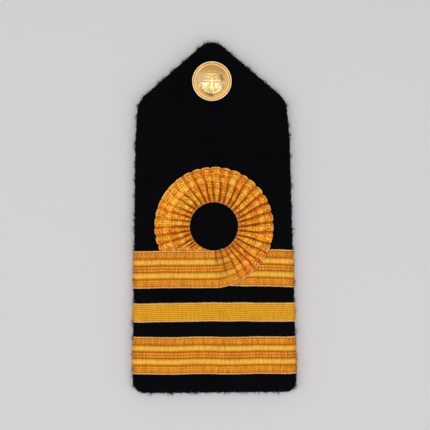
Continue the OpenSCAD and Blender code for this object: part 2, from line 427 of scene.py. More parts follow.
def effect_group(name: str, inputs: dict[str, float],
                 outputs: Sequence[str]) -> tuple[Sketch, dict[str, Value], bpy.types.Node]:
    """Starts a shader node group.

    Args:
        name: the group's name.
        inputs: the name and usual value of each number that goes in.
        outputs: the name of each number that comes out.

    Returns:
        A sketch of the group's tree, its inputs by name, and its output node.
    """
    tree = bpy.data.node_groups.new(name, "ShaderNodeTree")
    for key, value in inputs.items():
        tree.interface.new_socket(key, in_out="INPUT", socket_type="NodeSocketFloat").default_value = value
    for key in outputs:
        tree.interface.new_socket(key, in_out="OUTPUT", socket_type="NodeSocketFloat")
    entry, end = tree.nodes.new("NodeGroupInput"), tree.nodes.new("NodeGroupOutput")
    sketch = Sketch(tree)
    return sketch, {key: sketch.result(entry, key) for key in inputs}, end


def thread_texture() -> bpy.types.NodeTree:
    """The woven relief of metal thread: wires across the lace, zigzag rows, and twisted cords.

    Returns:
        The node group, whose Along and Across are in millimetres.
    """
    sketch, given, end = effect_group(
        "Metal thread", {"Along": 0.0, "Across": 0.0, "Wire": 0.5, "Spot": 1.2, "Row": 0.8},
        ("Wires", "Spots", "Twist", "Strands", "Glint"))
    across, wire, spot, row = (given[key] for key in ("Across", "Wire", "Spot", "Row"))
    sway, sway_bend, zig, floor, slant, strand, layer = 0.06, 1.7, 0.25, 0.4, 1.1, 2.2, 2.3

    def wave(place: Value, pitch: Value) -> Value:
        """Rounded ridges, one for each pitch."""
        return abs((place / pitch * math.pi).sine())

    def zigzag(place: Value, pitch: Value) -> Value:
        """A line that goes from 0 to 1 and back, once for each pitch."""
        return abs((place / pitch).fraction() * 2.0 - 1.0)

    along = given["Along"] + (across * sway_bend).sine() * sway
    dots = wave(along + zigzag(across, row * 2.0) * spot, spot)
    lines = wave(across + zigzag(along, spot) * zig, row)
    cell = sketch.join((along / wire).floor(), (across / layer).floor())
    glint = sketch.add("TexWhiteNoise", {"noise_dimensions": "2D"}, {"Vector": cell})
    sketch.feed(end, {
        "Wires": wave(along, wire),
        "Spots": (lines * (1 - floor) + floor) * dots,
        "Twist": wave(given["Along"] + across * slant, spot),
        "Strands": wave(along, wire * strand),
        "Glint": sketch.result(glint, "Value"),
    })
    return sketch.tree


def soft_patches() -> bpy.types.NodeTree:
    """Soft patches of wear or dirt over a surface.

    Returns:
        The node group. Size is in features a metre, and Low and High bound its Patch from 0 to 1.
    """
    sketch, given, end = effect_group("Patches", {"Size": 200.0, "Low": 0.35, "High": 0.65}, ("Patch",))
    spread = sketch.add("MapRange", {"interpolation_type": "SMOOTHSTEP"}, {
        "Value": sketch.noise(given["Size"], 3.0), "From Min": given["Low"], "From Max": given["High"]})
    sketch.feed(end, {"Patch": sketch.result(spread, "Result")})
    return sketch.tree


@dataclass(frozen=True)
class Effects:
    """The effects that more than one finish uses."""

    thread: bpy.types.NodeTree
    patch: bpy.types.NodeTree

    def threads(self, sketch: Sketch, along: Value, across: Value) -> dict[str, Value]:
        """The woven relief's results by name, at places on the lace in millimetres."""
        node = sketch.add("Group", {"node_tree": self.thread}, {"Along": along, "Across": across})
        return {socket.name: Value(sketch, socket) for socket in node.outputs}

    def patches(self, sketch: Sketch, size: float, low: float, high: float) -> Value:
        """Soft patches, with size in features a metre and the noise values where they start and are full."""
        node = sketch.add("Group", {"node_tree": self.patch}, {"Size": size, "Low": low, "High": high})
        return sketch.result(node, "Patch")


def new_material(name: str) -> tuple[bpy.types.Material, Sketch, bpy.types.Node]:
    """A material with an empty Principled surface.

    Args:
        name: the material's name.

    Returns:
        The material, a sketch of its tree, and its Principled shader.
    """
    material = bpy.data.materials.new(name)
    material.use_nodes = True
    shader = material.node_tree.nodes["Principled BSDF"]
    return material, Sketch(material.node_tree), shader


class Band(NamedTuple):
    """A band across the lace: where it starts and ends, as shares of the width, its height and weave."""

    start: float
    end: float
    height: float
    weave: Weave


WIDE_BANDS = (
    Band(0.000, 0.036, 0.80, Weave.EDGE),
    Band(0.054, 0.222, 0.88, Weave.SPOTTED),
    Band(0.244, 0.424, 1.00, Weave.SATIN),
    Band(0.444, 0.508, 0.90, Weave.CORD),
    Band(0.512, 0.580, 0.90, Weave.CORD),
    Band(0.604, 0.780, 1.00, Weave.SATIN),
    Band(0.802, 0.948, 0.88, Weave.SPOTTED),
    Band(0.964, 1.000, 0.80, Weave.EDGE),
)
WEAVE_FLOOR = 0.52
HALF_CORDS = 10
HALF_BANDS = tuple(
    Band(k / HALF_CORDS, (k + 0.9) / HALF_CORDS, 0.95,
         Weave.EDGE if k in (0, HALF_CORDS - 1) else Weave.SATIN)
    for k in range(HALF_CORDS))


class WeaveLook(NamedTuple):
    """How one weave looks: its colour, how far its low parts turn to the shade, and how much of its own
    colour and relief is lost where the lace is gathered."""

    tone: Colour
    contrast: float
    muting: float


@dataclass(frozen=True)
class LaceFinish:
    """Woven gold lace: a colour for each weave, with painted shade where its threads dip and in its creases,
    and richer in the gathers.
    """

    name: str
    bands: tuple[Band, ...]
    width: float
    satin: Colour = srgb(230, 150, 40)
    # A painted highlight along the middle of each satin band.
    sheen: Colour | None = srgb(250, 196, 74)
    cord: Colour = srgb(238, 162, 48)
    spotted: Colour = srgb(250, 174, 46)
    edge: Colour = srgb(255, 200, 122)
    groove: Colour = srgb(184, 84, 12)
    shade: Colour = srgb(158, 66, 8)
    gathered: Colour = srgb(252, 164, 38)
    straw: Colour = srgb(255, 208, 74)
    russet: Colour = srgb(210, 92, 28)
    rim: Colour = srgb(212, 134, 70)
    # The painted shade in the creases of the gathers.
    crease_shade: Colour = srgb(136, 56, 16)
    metallic: float = 0.5
    roughness: float = 0.46
    relief: float = 0.16
    rim_from: float = 0.945
    rim_cover: float = 0.85
    streaks: float = 0.45
    unevenness: float = 0.5
    wear: float = 0.2
    pushed: float = 1.8

    def look(self, weave: Weave) -> WeaveLook:
        """How one weave looks in this lace."""
        return {
            Weave.SATIN: WeaveLook(self.satin, 0.24, 0.82),
            Weave.CORD: WeaveLook(self.cord, 0.6, 0.85),
            Weave.SPOTTED: WeaveLook(self.spotted, 0.8, 0.85),
            Weave.EDGE: WeaveLook(self.edge, 0.3, 0.6),
            Weave.GROOVE: WeaveLook(self.groove, 0.1, 0.55),
        }[weave]

    def stops(self, value: Callable[[Weave], Colour | float], sheen: Colour | None = None) -> Stops:
        """The places across the lace where the value changes from band to band.

        Args:
            value: gives a colour or a grey for each weave.
            sheen: the painted highlight in the middle of the satin bands, when it isn't the colour of their
                edges.

        Returns:
            Pairs of a place and a colour, in order.
        """
        soft = 0.008
        found: list[tuple[float, Colour | float]] = []
        for before, band in zip((None, *self.bands), self.bands):
            if before is not None:
                found.append(((before.end + band.start) / 2, value(Weave.GROOVE)))
            found.append((band.start + soft, value(band.weave)))
            if sheen and band.weave is Weave.SATIN:
                found += [(mix(band.start, band.end, share), sheen) for share in (0.36, 0.64)]
            found.append((band.end - soft, value(band.weave)))
        return [(place, colour if isinstance(colour, tuple) else (colour,) * 3) for place, colour in found]

    def material(self, effects: Effects) -> bpy.types.Material:
        """Builds the surface.

        Args:
            effects: the shared node groups.

        Returns:
            The material. It reads two attributes: weave (along in mm, share across, depth in a crease, where
                shade is painted)
            and pleat (how gathered the lace is, the pleat's own tone with painted light on its crest and
            flanks, the count of its cross rows).
        """
        material, sketch, shader = new_material(self.name)
        along, across, crease_shade = sketch.attribute("weave")
        gathers, pleat_tone_and_light, cross_rows = sketch.attribute("pleat")
        pushed = (sketch.noise(900, 2.0) - 0.5) * (gathers * self.pushed)
        thread = effects.threads(sketch, along + pushed, across * self.width)

        def banded(value: Callable[[Weave], Colour | float], sheen: Colour | None = None) -> Value:
            """A value that changes from band to band."""
            return sketch.ramp(across, self.stops(value, sheen))

        def cloud(scale: float, stretch: float) -> Value:
            """Noise from -1 to 1, with scale in features a mm along and stretched that much across."""
            place = sketch.join(along, across * (self.width / stretch))
            return (sketch.noise(scale, 3.0, place) - 0.5) * 2.0

        height = sketch.between(banded(lambda w: float(w is Weave.SPOTTED)), thread["Wires"], thread["Spots"])
        height = sketch.between(banded(lambda w: float(w is Weave.CORD)), height, thread["Twist"])
        rows = abs(((cross_rows + pushed * 0.4) * math.pi).sine())
        muted = gathers * banded(lambda w: self.look(w).muting)
        plain = 1.0 - muted
        basket = sketch.between(cloud(0.55, 1.0) * 1.6 + 0.5, rows, thread["Strands"])
        height = sketch.between(muted, height, basket)
        uneven = sketch.noise(1500, 3.0)

        # Random patches of tone and the pleat's painted light: straw where a crest is lit, russet on a shaded
        # flank.
        hue = cloud(0.8, 2.2) + (pleat_tone_and_light * 0.25 + 0.5) + cloud(2.3, 1.2)
        rich = sketch.ramp(hue, [(0.1, self.russet), (0.45, self.gathered), (0.9, self.straw)])
        colour = sketch.blend(muted, banded(lambda w: self.look(w).tone, self.sheen), rich)
        # Painted shade: the low places of the weave and the low cross rows of the gathers turn toward the
        # shade colour, along with random specks and streaks of tone.
        dip = banded(lambda w: self.look(w).contrast) * (1.0 - height)
        dip = dip + gathers * (1.0 - basket) * 0.22 + (0.62 - uneven) * self.unevenness
        dip = dip + plain * cloud(1.5, 7.0) * -self.streaks
        dip = dip + (thread["Glint"] > 0.74) * (plain * (0.27 * self.streaks))
        colour = sketch.blend(dip.at_least(0.0), colour, self.shade)
        worn = effects.patches(sketch, 130.0, 0.5, 0.75)
        colour = sketch.blend(worn * self.wear, colour, self.groove)
        # Painted shade in the creases, beaded along the cross rows.
        colour = sketch.blend(crease_shade * (rows ** 1.5 * -0.6 + 1.1), colour, self.crease_shade)
        rim = sketch.ramp(across, [(self.rim_from, BLACK), (self.rim_from + 0.02, WHITE)])
        colour = sketch.blend(rim * gathers * self.rim_cover, colour, self.rim)
        sketch.feed(shader, {
            "Base Color": colour, "Roughness": uneven * 0.2 + (self.roughness - 0.1),
            "Metallic": self.metallic, "Specular IOR Level": 0.1,
            "Normal": sketch.bump(height, self.relief * MM, 0.8)})
        return material


@dataclass(frozen=True)
class WoolFinish:
    """Black doeskin wool with a short nap."""

    name: str = "doeskin"
    dark: Colour = (0.0010, 0.0010, 0.0014)
    light: Colour = (0.0030, 0.0030, 0.0038)
    nap_scale: float = 5200.0
    nap_depth: float = 0.12

    def material(self, effects: Effects) -> bpy.types.Material:
        """Builds the surface from the shared node groups."""
        material, sketch, shader = new_material(self.name)
        brushed = sketch.add("Mapping", inputs={"Vector": sketch.place(), "Scale": (1.0, 0.35, 1.0)})
        nap = sketch.noise(self.nap_scale, 4.0, sketch.result(brushed))
        worn = effects.patches(sketch, 90.0, 0.3, 0.7)
        colour = sketch.blend(nap * 0.7 + worn * 0.3, self.dark, self.light)
        sketch.feed(shader, {
            "Base Color": colour, "Roughness": 0.92, "Specular IOR Level": 0.03, "Sheen Weight": 0.008,
            "Sheen Roughness": 0.4, "Normal": sketch.bump(nap, self.nap_depth * MM, 0.9)})
        return material


@dataclass(frozen=True)
class GiltFinish:
    """Gilt brass that is orange in its hollows, with painted shade over its upper part and two painted
    highlights, and brown where it has tarnished through.
    """

    name: str = "gilt"
    bright: Colour = srgb(255, 217, 140)
    mellow: Colour = srgb(206, 150, 80)
    tarnish: Colour = srgb(108, 52, 16)
    # Pale colour for the rim's outer edge and for two painted highlights on the dome.
    worn: Colour = srgb(246, 224, 186)
    metallic: float = 0.55
    roughness: float = 0.26

    def material(self, effects: Effects) -> bpy.types.Material:
        """Builds the surface, which reads the attribute device: hollow with painted shade, stain, and pale
        places with painted highlights.
        """
        material, sketch, shader = new_material(self.name)
        hollow_and_shade, stained, rubbed = sketch.attribute("device")
        patch = effects.patches(sketch, 420.0, 0.42, 0.7)
        stain = stained * (patch * 0.4 + 0.75)
        scratch = sketch.noise(9000, 3.0)
        # Paler at the rim's outer edge and at two painted highlights.
        colour = sketch.blend(rubbed, self.bright, self.worn)
        # Orange in the hollows, and painted shade over the upper part.
        colour = sketch.blend((patch * 0.12 + hollow_and_shade).at_most(1.0), colour, self.mellow)
        colour = sketch.blend(stain, colour, self.tarnish)
        sketch.feed(shader, {
            "Base Color": colour, "Roughness": stain * 0.2 + scratch * 0.1 + (self.roughness - 0.05),
            "Metallic": self.metallic, "Specular IOR Level": 0.3,
            "Normal": sketch.bump(scratch, 0.01 * MM, 0.5)})
        return material


@dataclass(frozen=True)
class LeatherFinish:
    """Black strap leather with a fine grain."""

    name: str = "strap_leather"
    dark: Colour = (0.006, 0.0052, 0.0048)
    rubbed: Colour = (0.022, 0.017, 0.014)
    grain_scale: float = 1500.0
    pore_width: float = 0.22

    def material(self, effects: Effects) -> bpy.types.Material:
        """Builds the surface from the shared node groups."""
        material, sketch, shader = new_material(self.name)
        grain = sketch.add("TexVoronoi", {"feature": "DISTANCE_TO_EDGE"},
                           {"Vector": sketch.place(), "Scale": self.grain_scale})
        pores = sketch.add("MapRange", inputs={"Value": sketch.result(grain, "Distance"),
                                               "From Max": self.pore_width})
        worn = effects.patches(sketch, 120.0, 0.45, 0.75)
        sketch.feed(shader, {
            "Base Color": sketch.blend(worn * 0.7, self.dark, self.rubbed), "Roughness": worn * 0.15 + 0.38,
            "Normal": sketch.bump(sketch.result(pores, "Result"), 0.05 * MM, 0.7)})
        return material


@dataclass(frozen=True)
class ThreadFinish:
    """Twisted sewing thread of one colour."""

    name: str
    shade: Colour

    def material(self, effects: Effects) -> bpy.types.Material:
        """Builds the surface from the shared node groups."""
        material, sketch, shader = new_material(self.name)
        deep = tuple(0.55 * c for c in self.shade)
        colour = sketch.blend(effects.patches(sketch, 2500.0, 0.3, 0.7), deep, self.shade)
        sketch.feed(shader, {
            "Base Color": colour, "Roughness": 0.6, "Normal": sketch.bump(sketch.noise(12000), 0.03 * MM)})
        return material


# The board that everything is sewn to


@dataclass
class BoardForm:
    """The board's own form in millimetres, with its length and levels taken from the frame."""

    length: float
    under_z: float
    top_z: float
    end_width: float = 62.4
    knee_width: float = 58.8
    shoulder_width: float = 56.3
    knee_drop: float = 15.8
    tip_angle: float = 98.6
    tip_radius: float = 6.2
    shoulder_radius: float = 9.0
    end_radius: float = 4.4
    edge_roll: float = 4.0
    edge_drop: float = 2.6
    under_radius: float = 1.2

    def __post_init__(self) -> None:
        """Works out the sharp corners of the outline."""
        half = math.radians(self.tip_angle / 2)
        self.end_y = -self.length / 2
        self.tip_y = self.length / 2 + self.tip_radius * (1 / math.sin(half) - 1)
        self.shoulder_y = self.tip_y - self.shoulder_width / 2 / math.tan(half)
        self.knee_y = self.shoulder_y - self.knee_drop
        turn = math.atan2(self.knee_width - self.shoulder_width, 2 * self.knee_drop) - math.atan2(
            self.end_width - self.knee_width, 2 * (self.knee_y - self.end_y))
        self.knee_radius = self.knee_drop / 5 / math.tan(turn / 2)
        self.thickness = self.top_z - self.under_z

    def corners(self) -> list[tuple[float, float, float]]:
        """The sharp corners clockwise from the tip, each with its radius."""
        right = [(self.shoulder_width / 2, self.shoulder_y, self.shoulder_radius),
                 (self.knee_width / 2, self.knee_y, self.knee_radius),
                 (self.end_width / 2, self.end_y, self.end_radius)]
        left = [(-x, y, r) for x, y, r in reversed(right)]
        return [(0.0, self.tip_y, self.tip_radius), *right, *left]

    def outline(self, spacing: float) -> tuple[Array, Array]:
        """Points round the edge and the outward direction at each.

        Args:
            spacing: the distance between points.

        Returns:
            Points and unit normals, clockwise from the left of the tip.
        """
        corners = self.corners()
        points, normals = [], []
        for i, (x, y, radius) in enumerate(corners):
            here = np.array([x, y])
            before = np.array(corners[i - 1][:2]) - here
            after = np.array(corners[(i + 1) % len(corners)][:2]) - here
            before, after = before / np.linalg.norm(before), after / np.linalg.norm(after)
            inward = (before + after) / np.linalg.norm(before + after)
            half = math.acos(float(before @ inward))
            centre = here + inward * radius / math.sin(half)
            middle, turn = math.atan2(-inward[1], -inward[0]), math.pi - 2 * half
            steps = max(2, round(turn * radius / spacing))
            for a in middle + turn * (0.5 - np.arange(steps + 1) / steps):
                normal = np.array([math.cos(a), math.sin(a)])
                points.append(centre + radius * normal)
                normals.append(normal)
        points, normals = np.array(points), np.array(normals)
        filled, directions = [], []
        for k in range(len(points)):
            ahead = (k + 1) % len(points)
            steps = max(1, round(float(np.linalg.norm(points[ahead] - points[k])) / spacing))
            share = (np.arange(steps) / steps)[:, None]
            filled.append(mix(points[k], points[ahead], share))
            directions.append(mix(normals[k], normals[ahead], share))
        normal = np.concatenate(directions)
        return np.concatenate(filled), normal / np.linalg.norm(normal, axis=1, keepdims=True)

    def half_width(self, y: Array) -> Array:
        """Half the width at each height along the board, below the knee."""
        side = mix(self.end_width, self.knee_width, (y - self.end_y) / (self.knee_y - self.end_y)) / 2
        left = np.clip(self.end_radius - (y - self.end_y), 0, self.end_radius)
        return side - (self.end_radius - np.sqrt(self.end_radius**2 - left**2))

    def edge_path(self, lead: float, steps: int = 14) -> Array:
        """The edge in section, from the underside round to the flat top.

        Args:
            lead: how far in under the board the path starts.
            steps: points on the rolled top edge.

        Returns:
            Rows of inset, rise, outward and upward direction, and distance along the path.
        """
        under = [(inset, 0.0, 0.0, -1.0) for inset in np.arange(lead, self.under_radius + 0.2, -0.45)]
        turn = [(self.under_radius * (1 - math.cos(a)), self.under_radius * (1 + math.sin(a)), math.cos(a),
                 math.sin(a)) for a in np.linspace(-math.pi / 2, 0, 9)]
        roll = []
        for a in np.linspace(0, math.pi / 2, steps):
            out = np.array([self.edge_drop * math.cos(a), self.edge_roll * math.sin(a)])
            inset = self.edge_roll * (1 - math.cos(a))
            rise = self.thickness - self.edge_drop * (1 - math.sin(a))
            roll.append((inset, rise, *(out / np.linalg.norm(out))))
        rows = np.array(under + turn + roll)
        step = np.linalg.norm(np.diff(rows[:, :2], axis=0), axis=1)
        return np.column_stack([rows, np.concatenate([[0], np.cumsum(step)])])


@dataclass
class ClothBoard:
    """The stiffened board in its wool cover, with the nap that stands off its edges."""

    form: BoardForm
    spacing: float = 0.36
    nap_depth: float = 0.1
    tuft_size: float = 0.12
    edge_hair_count: int = 12000
    face_hair_count: int = 5200
    hair_radius: float = 0.042
    hair_bow: float = 0.09
    edge_angles: tuple[float, float] = (-0.9, 1.1)
    edge_hair_length: tuple[float, float] = (0.25, 1.8)
    face_hair_length: tuple[float, float] = (0.3, 0.9)
    hair_tufts: int = 520
    loose_share: float = 0.45
    lowest_hair: float = 0.05

    def cover(self) -> bpy.types.Object:
        """Builds the cloth skin as rings that draw in to the middle of each face."""
        form = self.form
        points, normals = form.outline(self.spacing)
        count = len(points)
        place = np.arange(count) * self.spacing
        tufts = Wobble(3, 2.1, self.tuft_size)(place) + Wobble(4, 0.95, 0.6 * self.tuft_size)(place)
        points = points + normals * (self.nap_depth + tufts)[:, None]
        spine_y = np.clip(points[:, 1], form.end_y + form.end_width / 2, form.shoulder_y - 4)
        spine = np.column_stack([np.zeros(count), spine_y])
        drawn_in = 0.995 * np.linspace(1, 0, 27)[:-1]

        def ring(inset: float, drawn: float, z: float) -> Array:
            """One ring, inset from the edge and drawn towards the spine."""
            flat = mix(points - normals * inset, spine, drawn)
            x, y = flat.T
            rough = Wobble(11, 3.3, 0.035)(x + 0.7 * y) + Wobble(12, 2.3, 0.03)(y - 0.6 * x)
            lift = rough if z > form.under_z + 0.5 else np.zeros(count)
            return np.column_stack([flat, z + lift * (1 - 0.6 * (drawn > 0))])

        path = form.edge_path(form.under_radius)[1:]
        rings = [ring(form.under_radius, drawn, form.under_z) for drawn in drawn_in]
        rings += [ring(inset, 0.0, form.under_z + rise) for inset, rise in path[:, :2]]
        rings += [ring(form.edge_roll, drawn, form.top_z) for drawn in drawn_in[::-1]]
        return add_mesh("doeskin_cover", np.concatenate(rings), ring_faces(len(rings), count))

    def edge_hairs(self, random: np.random.Generator) -> tuple[Array, Array]:
        """Hairs that stand off the rolled edge, more than half of them in tufts.

        Args:
            random: the source of chance.

        Returns:
            Where each hair starts and ends.
        """
        form, count = self.form, self.edge_hair_count
        points, normals = form.outline(self.spacing)
        tuft = random.integers(0, self.hair_tufts, count)
        middle = random.integers(0, len(points), self.hair_tufts)
        loose = random.random(count) < self.loose_share
        beside = middle[tuft] + np.round(random.normal(0, 1.0, count)).astype(int)
        pick = np.where(loose, random.integers(0, len(points), count), beside) % len(points)
        angle = random.uniform(*self.edge_angles, count)
        out = normals[pick]
        inset = form.edge_roll * (1 - np.cos(np.clip(angle, 0, 2))) * 0.1 + 0.1 - self.nap_depth
        root_z = form.under_z + form.thickness * (0.45 + 0.35 * np.sin(angle))
        roots = np.column_stack([points[pick] - out * inset[:, None], root_z])
        shag = np.clip(0.5 + Wobble(22, 6.0, 0.9)(pick * self.spacing), 0.15, 1.2)
        low, high = self.edge_hair_length
        length = low + (high - low) * random.random(count) ** 2.4 * shag
        loose_side = random.normal(0, 0.75, count)
        tuft_side = random.normal(0, 0.7, self.hair_tufts)[tuft] + random.normal(0, 0.3, count)
        side = np.where(loose, loose_side, tuft_side)[:, None]
        lean = np.column_stack([-out[:, 1], out[:, 0]]) * side
        way = np.column_stack([out + lean, random.normal(0.1, 0.45, count)])
        way /= np.linalg.norm(way, axis=1, keepdims=True)
        return roots, roots + way * length[:, None]

    def face_hairs(self, random: np.random.Generator) -> tuple[Array, Array]:
        """Short hairs that lie over the bare face of the board.

        Args:
            random: the source of chance.

        Returns:
            Where each hair starts and ends.
        """
        form, tries = self.form, 3 * self.face_hair_count
        y = random.uniform(form.end_y + 1, form.length / 2 - 2, tries)
        x = random.uniform(-form.end_width / 2, form.end_width / 2, tries)
        slope = math.tan(math.radians(form.tip_angle / 2))
        inside = np.abs(x) < np.minimum(form.half_width(y) - 3.5, (form.tip_y - y - 4.5) * slope)
        roots = np.column_stack([x, y, np.full(tries, form.top_z - 0.03)])[inside][: self.face_hair_count]
        count = len(roots)
        way = np.column_stack([random.normal(0, 0.8, (count, 2)), np.abs(random.normal(0.05, 0.3, count))])
        way /= np.linalg.norm(way, axis=1, keepdims=True)
        return roots, roots + way * random.uniform(*self.face_hair_length, count)[:, None]

    def nap(self) -> bpy.types.Object:
        """Builds the loose wool hairs along the outline and over the face."""
        random = np.random.default_rng(21)
        hairs = self.edge_hairs(random), self.face_hairs(random)
        roots, tips = (np.concatenate(ends) for ends in zip(*hairs))
        tips[:, 2] = np.maximum(tips[:, 2], self.lowest_hair)
        bow = random.normal(0, self.hair_bow, roots.shape)
        radius = self.hair_radius * random.uniform(0.6, 1.2, len(roots))
        return add_mesh("wool_nap", *tapered_hairs(roots, tips, bow, radius))

    def build(self, wool: bpy.types.Material) -> None:
        """Makes and dresses the cover and its nap."""
        cover = self.cover()
        place_piece(cover, wool, Slot.CLOTH, "cloth_board")
        place_piece(self.nap(), wool, Slot.CLOTH)


# Gold lace


def lace_relief(bands: Sequence[Band], across: Array) -> Array:
    """The height of the woven face at each share of the width, as a share of the thickness."""
    height = np.full_like(across, WEAVE_FLOOR)
    for band in bands:
        t = np.clip((across - band.start) / (band.end - band.start), 0, 1)
        inside = (across >= band.start) & (across <= band.end)
        round_top = (1 - np.abs(2 * t - 1) ** 2.6) ** 0.5
        height = np.where(inside, mix(WEAVE_FLOOR, band.height, round_top), height)
    return height


def band_places(bands: Sequence[Band], each: int) -> Array:
    """Shares of the width for a lace's columns of points, close together where bands meet."""
    shape = (1 - np.cos(np.linspace(0, math.pi, each))) / 2
    places = np.concatenate([mix(b.start, b.end, shape) for b in bands])
    between = [(a.end + b.start) / 2 for a, b in zip(bands, bands[1:]) if b.start - a.end > 0.006]
    return np.unique(np.round(np.concatenate([places, between]), 5))


class Ribbon(NamedTuple):
    """A stretch of lace: its rings of points, and what its material reads at each of them."""

    rings: Array
    weave: Array
    pleat: Array

    @classmethod
    def plain(cls, rings: Array, along: Array, share: Array) -> "Ribbon":
        """A stretch that lies flat, from each ring's distance along and each point's share of the width."""
        weave = np.zeros_like(rings)
        weave[:, :, 0], weave[:, :, 1] = along[:, None], share
        return cls(rings, weave, np.zeros_like(rings))


@dataclass
class LaceRow:
    """One straight row of lace that is turned in under both edges of the board."""

    name: str
    node: str
    form: BoardForm
    bands: tuple[Band, ...]
    low_y: float
    width: float
    seed: int
    thickness: float = 0.6
    turned_in: float = 7.0
    drift: tuple[tuple[float, float], ...] = ((0.0, 0.0),)
    column_points: int = 9
    held: Held = Held.STRETCHED

    def across(self) -> Array:
        """The columns of the face."""
        return band_places(self.bands, self.column_points)

    def section(self, under_count: int = 8) -> tuple[Array, Array, Array]:
        """One closed section of the lace.

        Args:
            under_count: points across the underside.

        Returns:
            The share of the width, the height and 1 on the face or 0 below, for each point.
        """
        face = self.across()
        under = np.linspace(1, 0, under_count)
        height = np.concatenate([lace_relief(self.bands, face) * self.thickness, np.zeros(under_count)])
        on_face = np.concatenate([np.ones(len(face)), np.zeros(under_count)])
        return np.concatenate([face, under]), height, on_face

    def edge_rings(self, side: Side, share: Array, height: Array) -> tuple[Array, Array]:
        """The rings where the lace wraps one edge, from its turned-in end to the flat top.

        Args:
            side: the edge.
            share: each point's share of the width.
            height: its height above the underside.

        Returns:
            Rings of points, and the distance of each ring along the lace from that end.
        """
        form = self.form
        path = form.edge_path(self.turned_in)
        y = self.low_y + self.width * share
        middle = form.half_width(np.array([self.low_y + self.width / 2]))
        rings = []
        for inset, rise, out, up, _ in path:
            edge = np.where(inset >= self.turned_in - 0.01, middle, form.half_width(y))
            lift = CLEARANCE + height
            x = side.value * (edge - inset + out * lift)
            rings.append(np.column_stack([x, y, form.under_z + rise + up * lift]))
        return np.array(rings), path[:, 4]

    def uneven(self, points: Array, along: Array, share: Array, face: Array) -> Array:
        """Adds the small waves that a hand-sewn lace has."""
        moved = points.copy()
        waves = ((17.0, 0.07), (5.0, 0.02), (1.3, 0.035), (9.0, 0.018))
        long_wave, short_wave, frayed, lift = (
            Wobble(self.seed + number, wavelength, size)(along)[:, None]
            for number, (wavelength, size) in enumerate(waves))
        edge = bell(share, 0.03) - bell(1 - share, 0.03)
        drift = np.interp(points[:, :, 0], *zip(*self.drift))
        moved[:, :, 1] += long_wave + short_wave - frayed * edge + drift
        flat = ease(self.form.top_z - 1.0, self.form.top_z, points[:, :, 2])
        moved[:, :, 2] += (lift + 0.02) * face * flat
        return moved

    def finish(self, material: bpy.types.Material, ribbon: Ribbon) -> bpy.types.Object:
        """Turns a ribbon into the dressed piece."""
        piece = add_mesh(self.name, ribbon.rings.reshape(-1, 3), ring_faces(*ribbon.rings.shape[:2]))
        keep_values(piece, "weave", ribbon.weave)
        keep_values(piece, "pleat", ribbon.pleat)
        place_piece(piece, material, Slot.LACE, self.node)
        if self.width * MM > NARROWEST_SHEET:
            self.width * MM
        return piece

    def build(self, material: bpy.types.Material) -> bpy.types.Object:
        """Makes the whole row."""
        share, height, face = self.section()
        left, left_along = self.edge_rings(Side.LEFT, share, height)
        right, right_along = self.edge_rings(Side.RIGHT, share, height)
        steps = 110
        t = (np.arange(1, steps) / steps)[:, None, None]
        flat = mix(left[-1], right[-1], t)
        run = float(right[-1][0, 0] - left[-1][0, 0])
        along = np.concatenate([left_along, left_along[-1] + run * t[:, 0, 0],
                                left_along[-1] + run + (right_along[-1] - right_along[::-1])])
        rings = np.concatenate([left, flat, right[::-1]])
        return self.finish(material, Ribbon.plain(self.uneven(rings, along, share, face), along, share))


@dataclass
class SideLace(LaceRow):
    """The right part of the upper row, which starts under the curl."""

    start_x: float = 2.8

    def build(self, material: bpy.types.Material) -> bpy.types.Object:
        """Makes the row from its hidden start to its turned-in right end."""
        share, height, face = self.section()
        right, right_along = self.edge_rings(Side.RIGHT, share, height)
        steps = 60
        t = (np.arange(steps) / steps)[:, None, None]
        start = right[-1].copy()
        start[:, 0] = self.start_x
        flat = mix(start, right[-1], t)
        run = float(right[-1][0, 0] - self.start_x)
        along = np.concatenate([run * t[:, 0, 0], run + (right_along[-1] - right_along[::-1])])
        rings = np.concatenate([flat, right[::-1]])
        return self.finish(material, Ribbon.plain(self.uneven(rings, along, share, face), along, share))


class Gather(NamedTuple):
    """The loop at one of its creases, counted from its foot: where it lies, how far the crease leans
    round at the outer edge, its reach as a share of the width, and how much the outer edge waves."""

    number: int
    angle: float
    lean: float
    reach: float
    scallop: float


GATHERS = (
    Gather(0, -86.5, 0.0, 0.36, 0.00),
    Gather(1, -74.5, 0.0, 0.65, 0.00),
    Gather(2, -62.5, 0.0, 0.95, 0.05),
    Gather(5, -36.8, 0.0, 1.00, 0.15),
    Gather(8, -11.0, 4.1, 1.00, 0.80),
    Gather(12, 28.0, 5.3, 0.95, 1.20),
    Gather(16, 67.0, 5.1, 0.72, 0.80),
    Gather(20, 108.1, 4.5, 0.70, 0.70),
    Gather(23, 139.0, 3.8, 0.50, 0.20),
    Gather(25, 159.1, 2.6, 0.45, 0.30),
    Gather(28, 189.4, 0.0, 0.60, 1.00),
    Gather(30, 209.5, 0.0, 0.65, 0.90),
    Gather(33, 233.0, 0.0, 0.90, 0.50),
    Gather(36, 262.0, 0.0, 0.90, 0.30),
)


class Pleats(NamedTuple):
    """The loop's stations from its foot to its tail, each value as a column.

    number counts the creases, t is the share of the pleat and crest its rounded height. gathered grows
    from the foot, and tucked fades from there. swing, turn and deep belong to the nearest creases, and
    puff, slip, step and tone to the pleat. The rest comes from the table of gathers.
    """

    number: Array
    t: Array
    crest: Array
    gathered: Array
    tucked: Array
    angle: Array
    lean: Array
    reach: Array
    scallop: Array
    swing: Array
    turn: Array
    deep: Array
    puff: Array
    slip: Array
    step: Array
    tone: Array


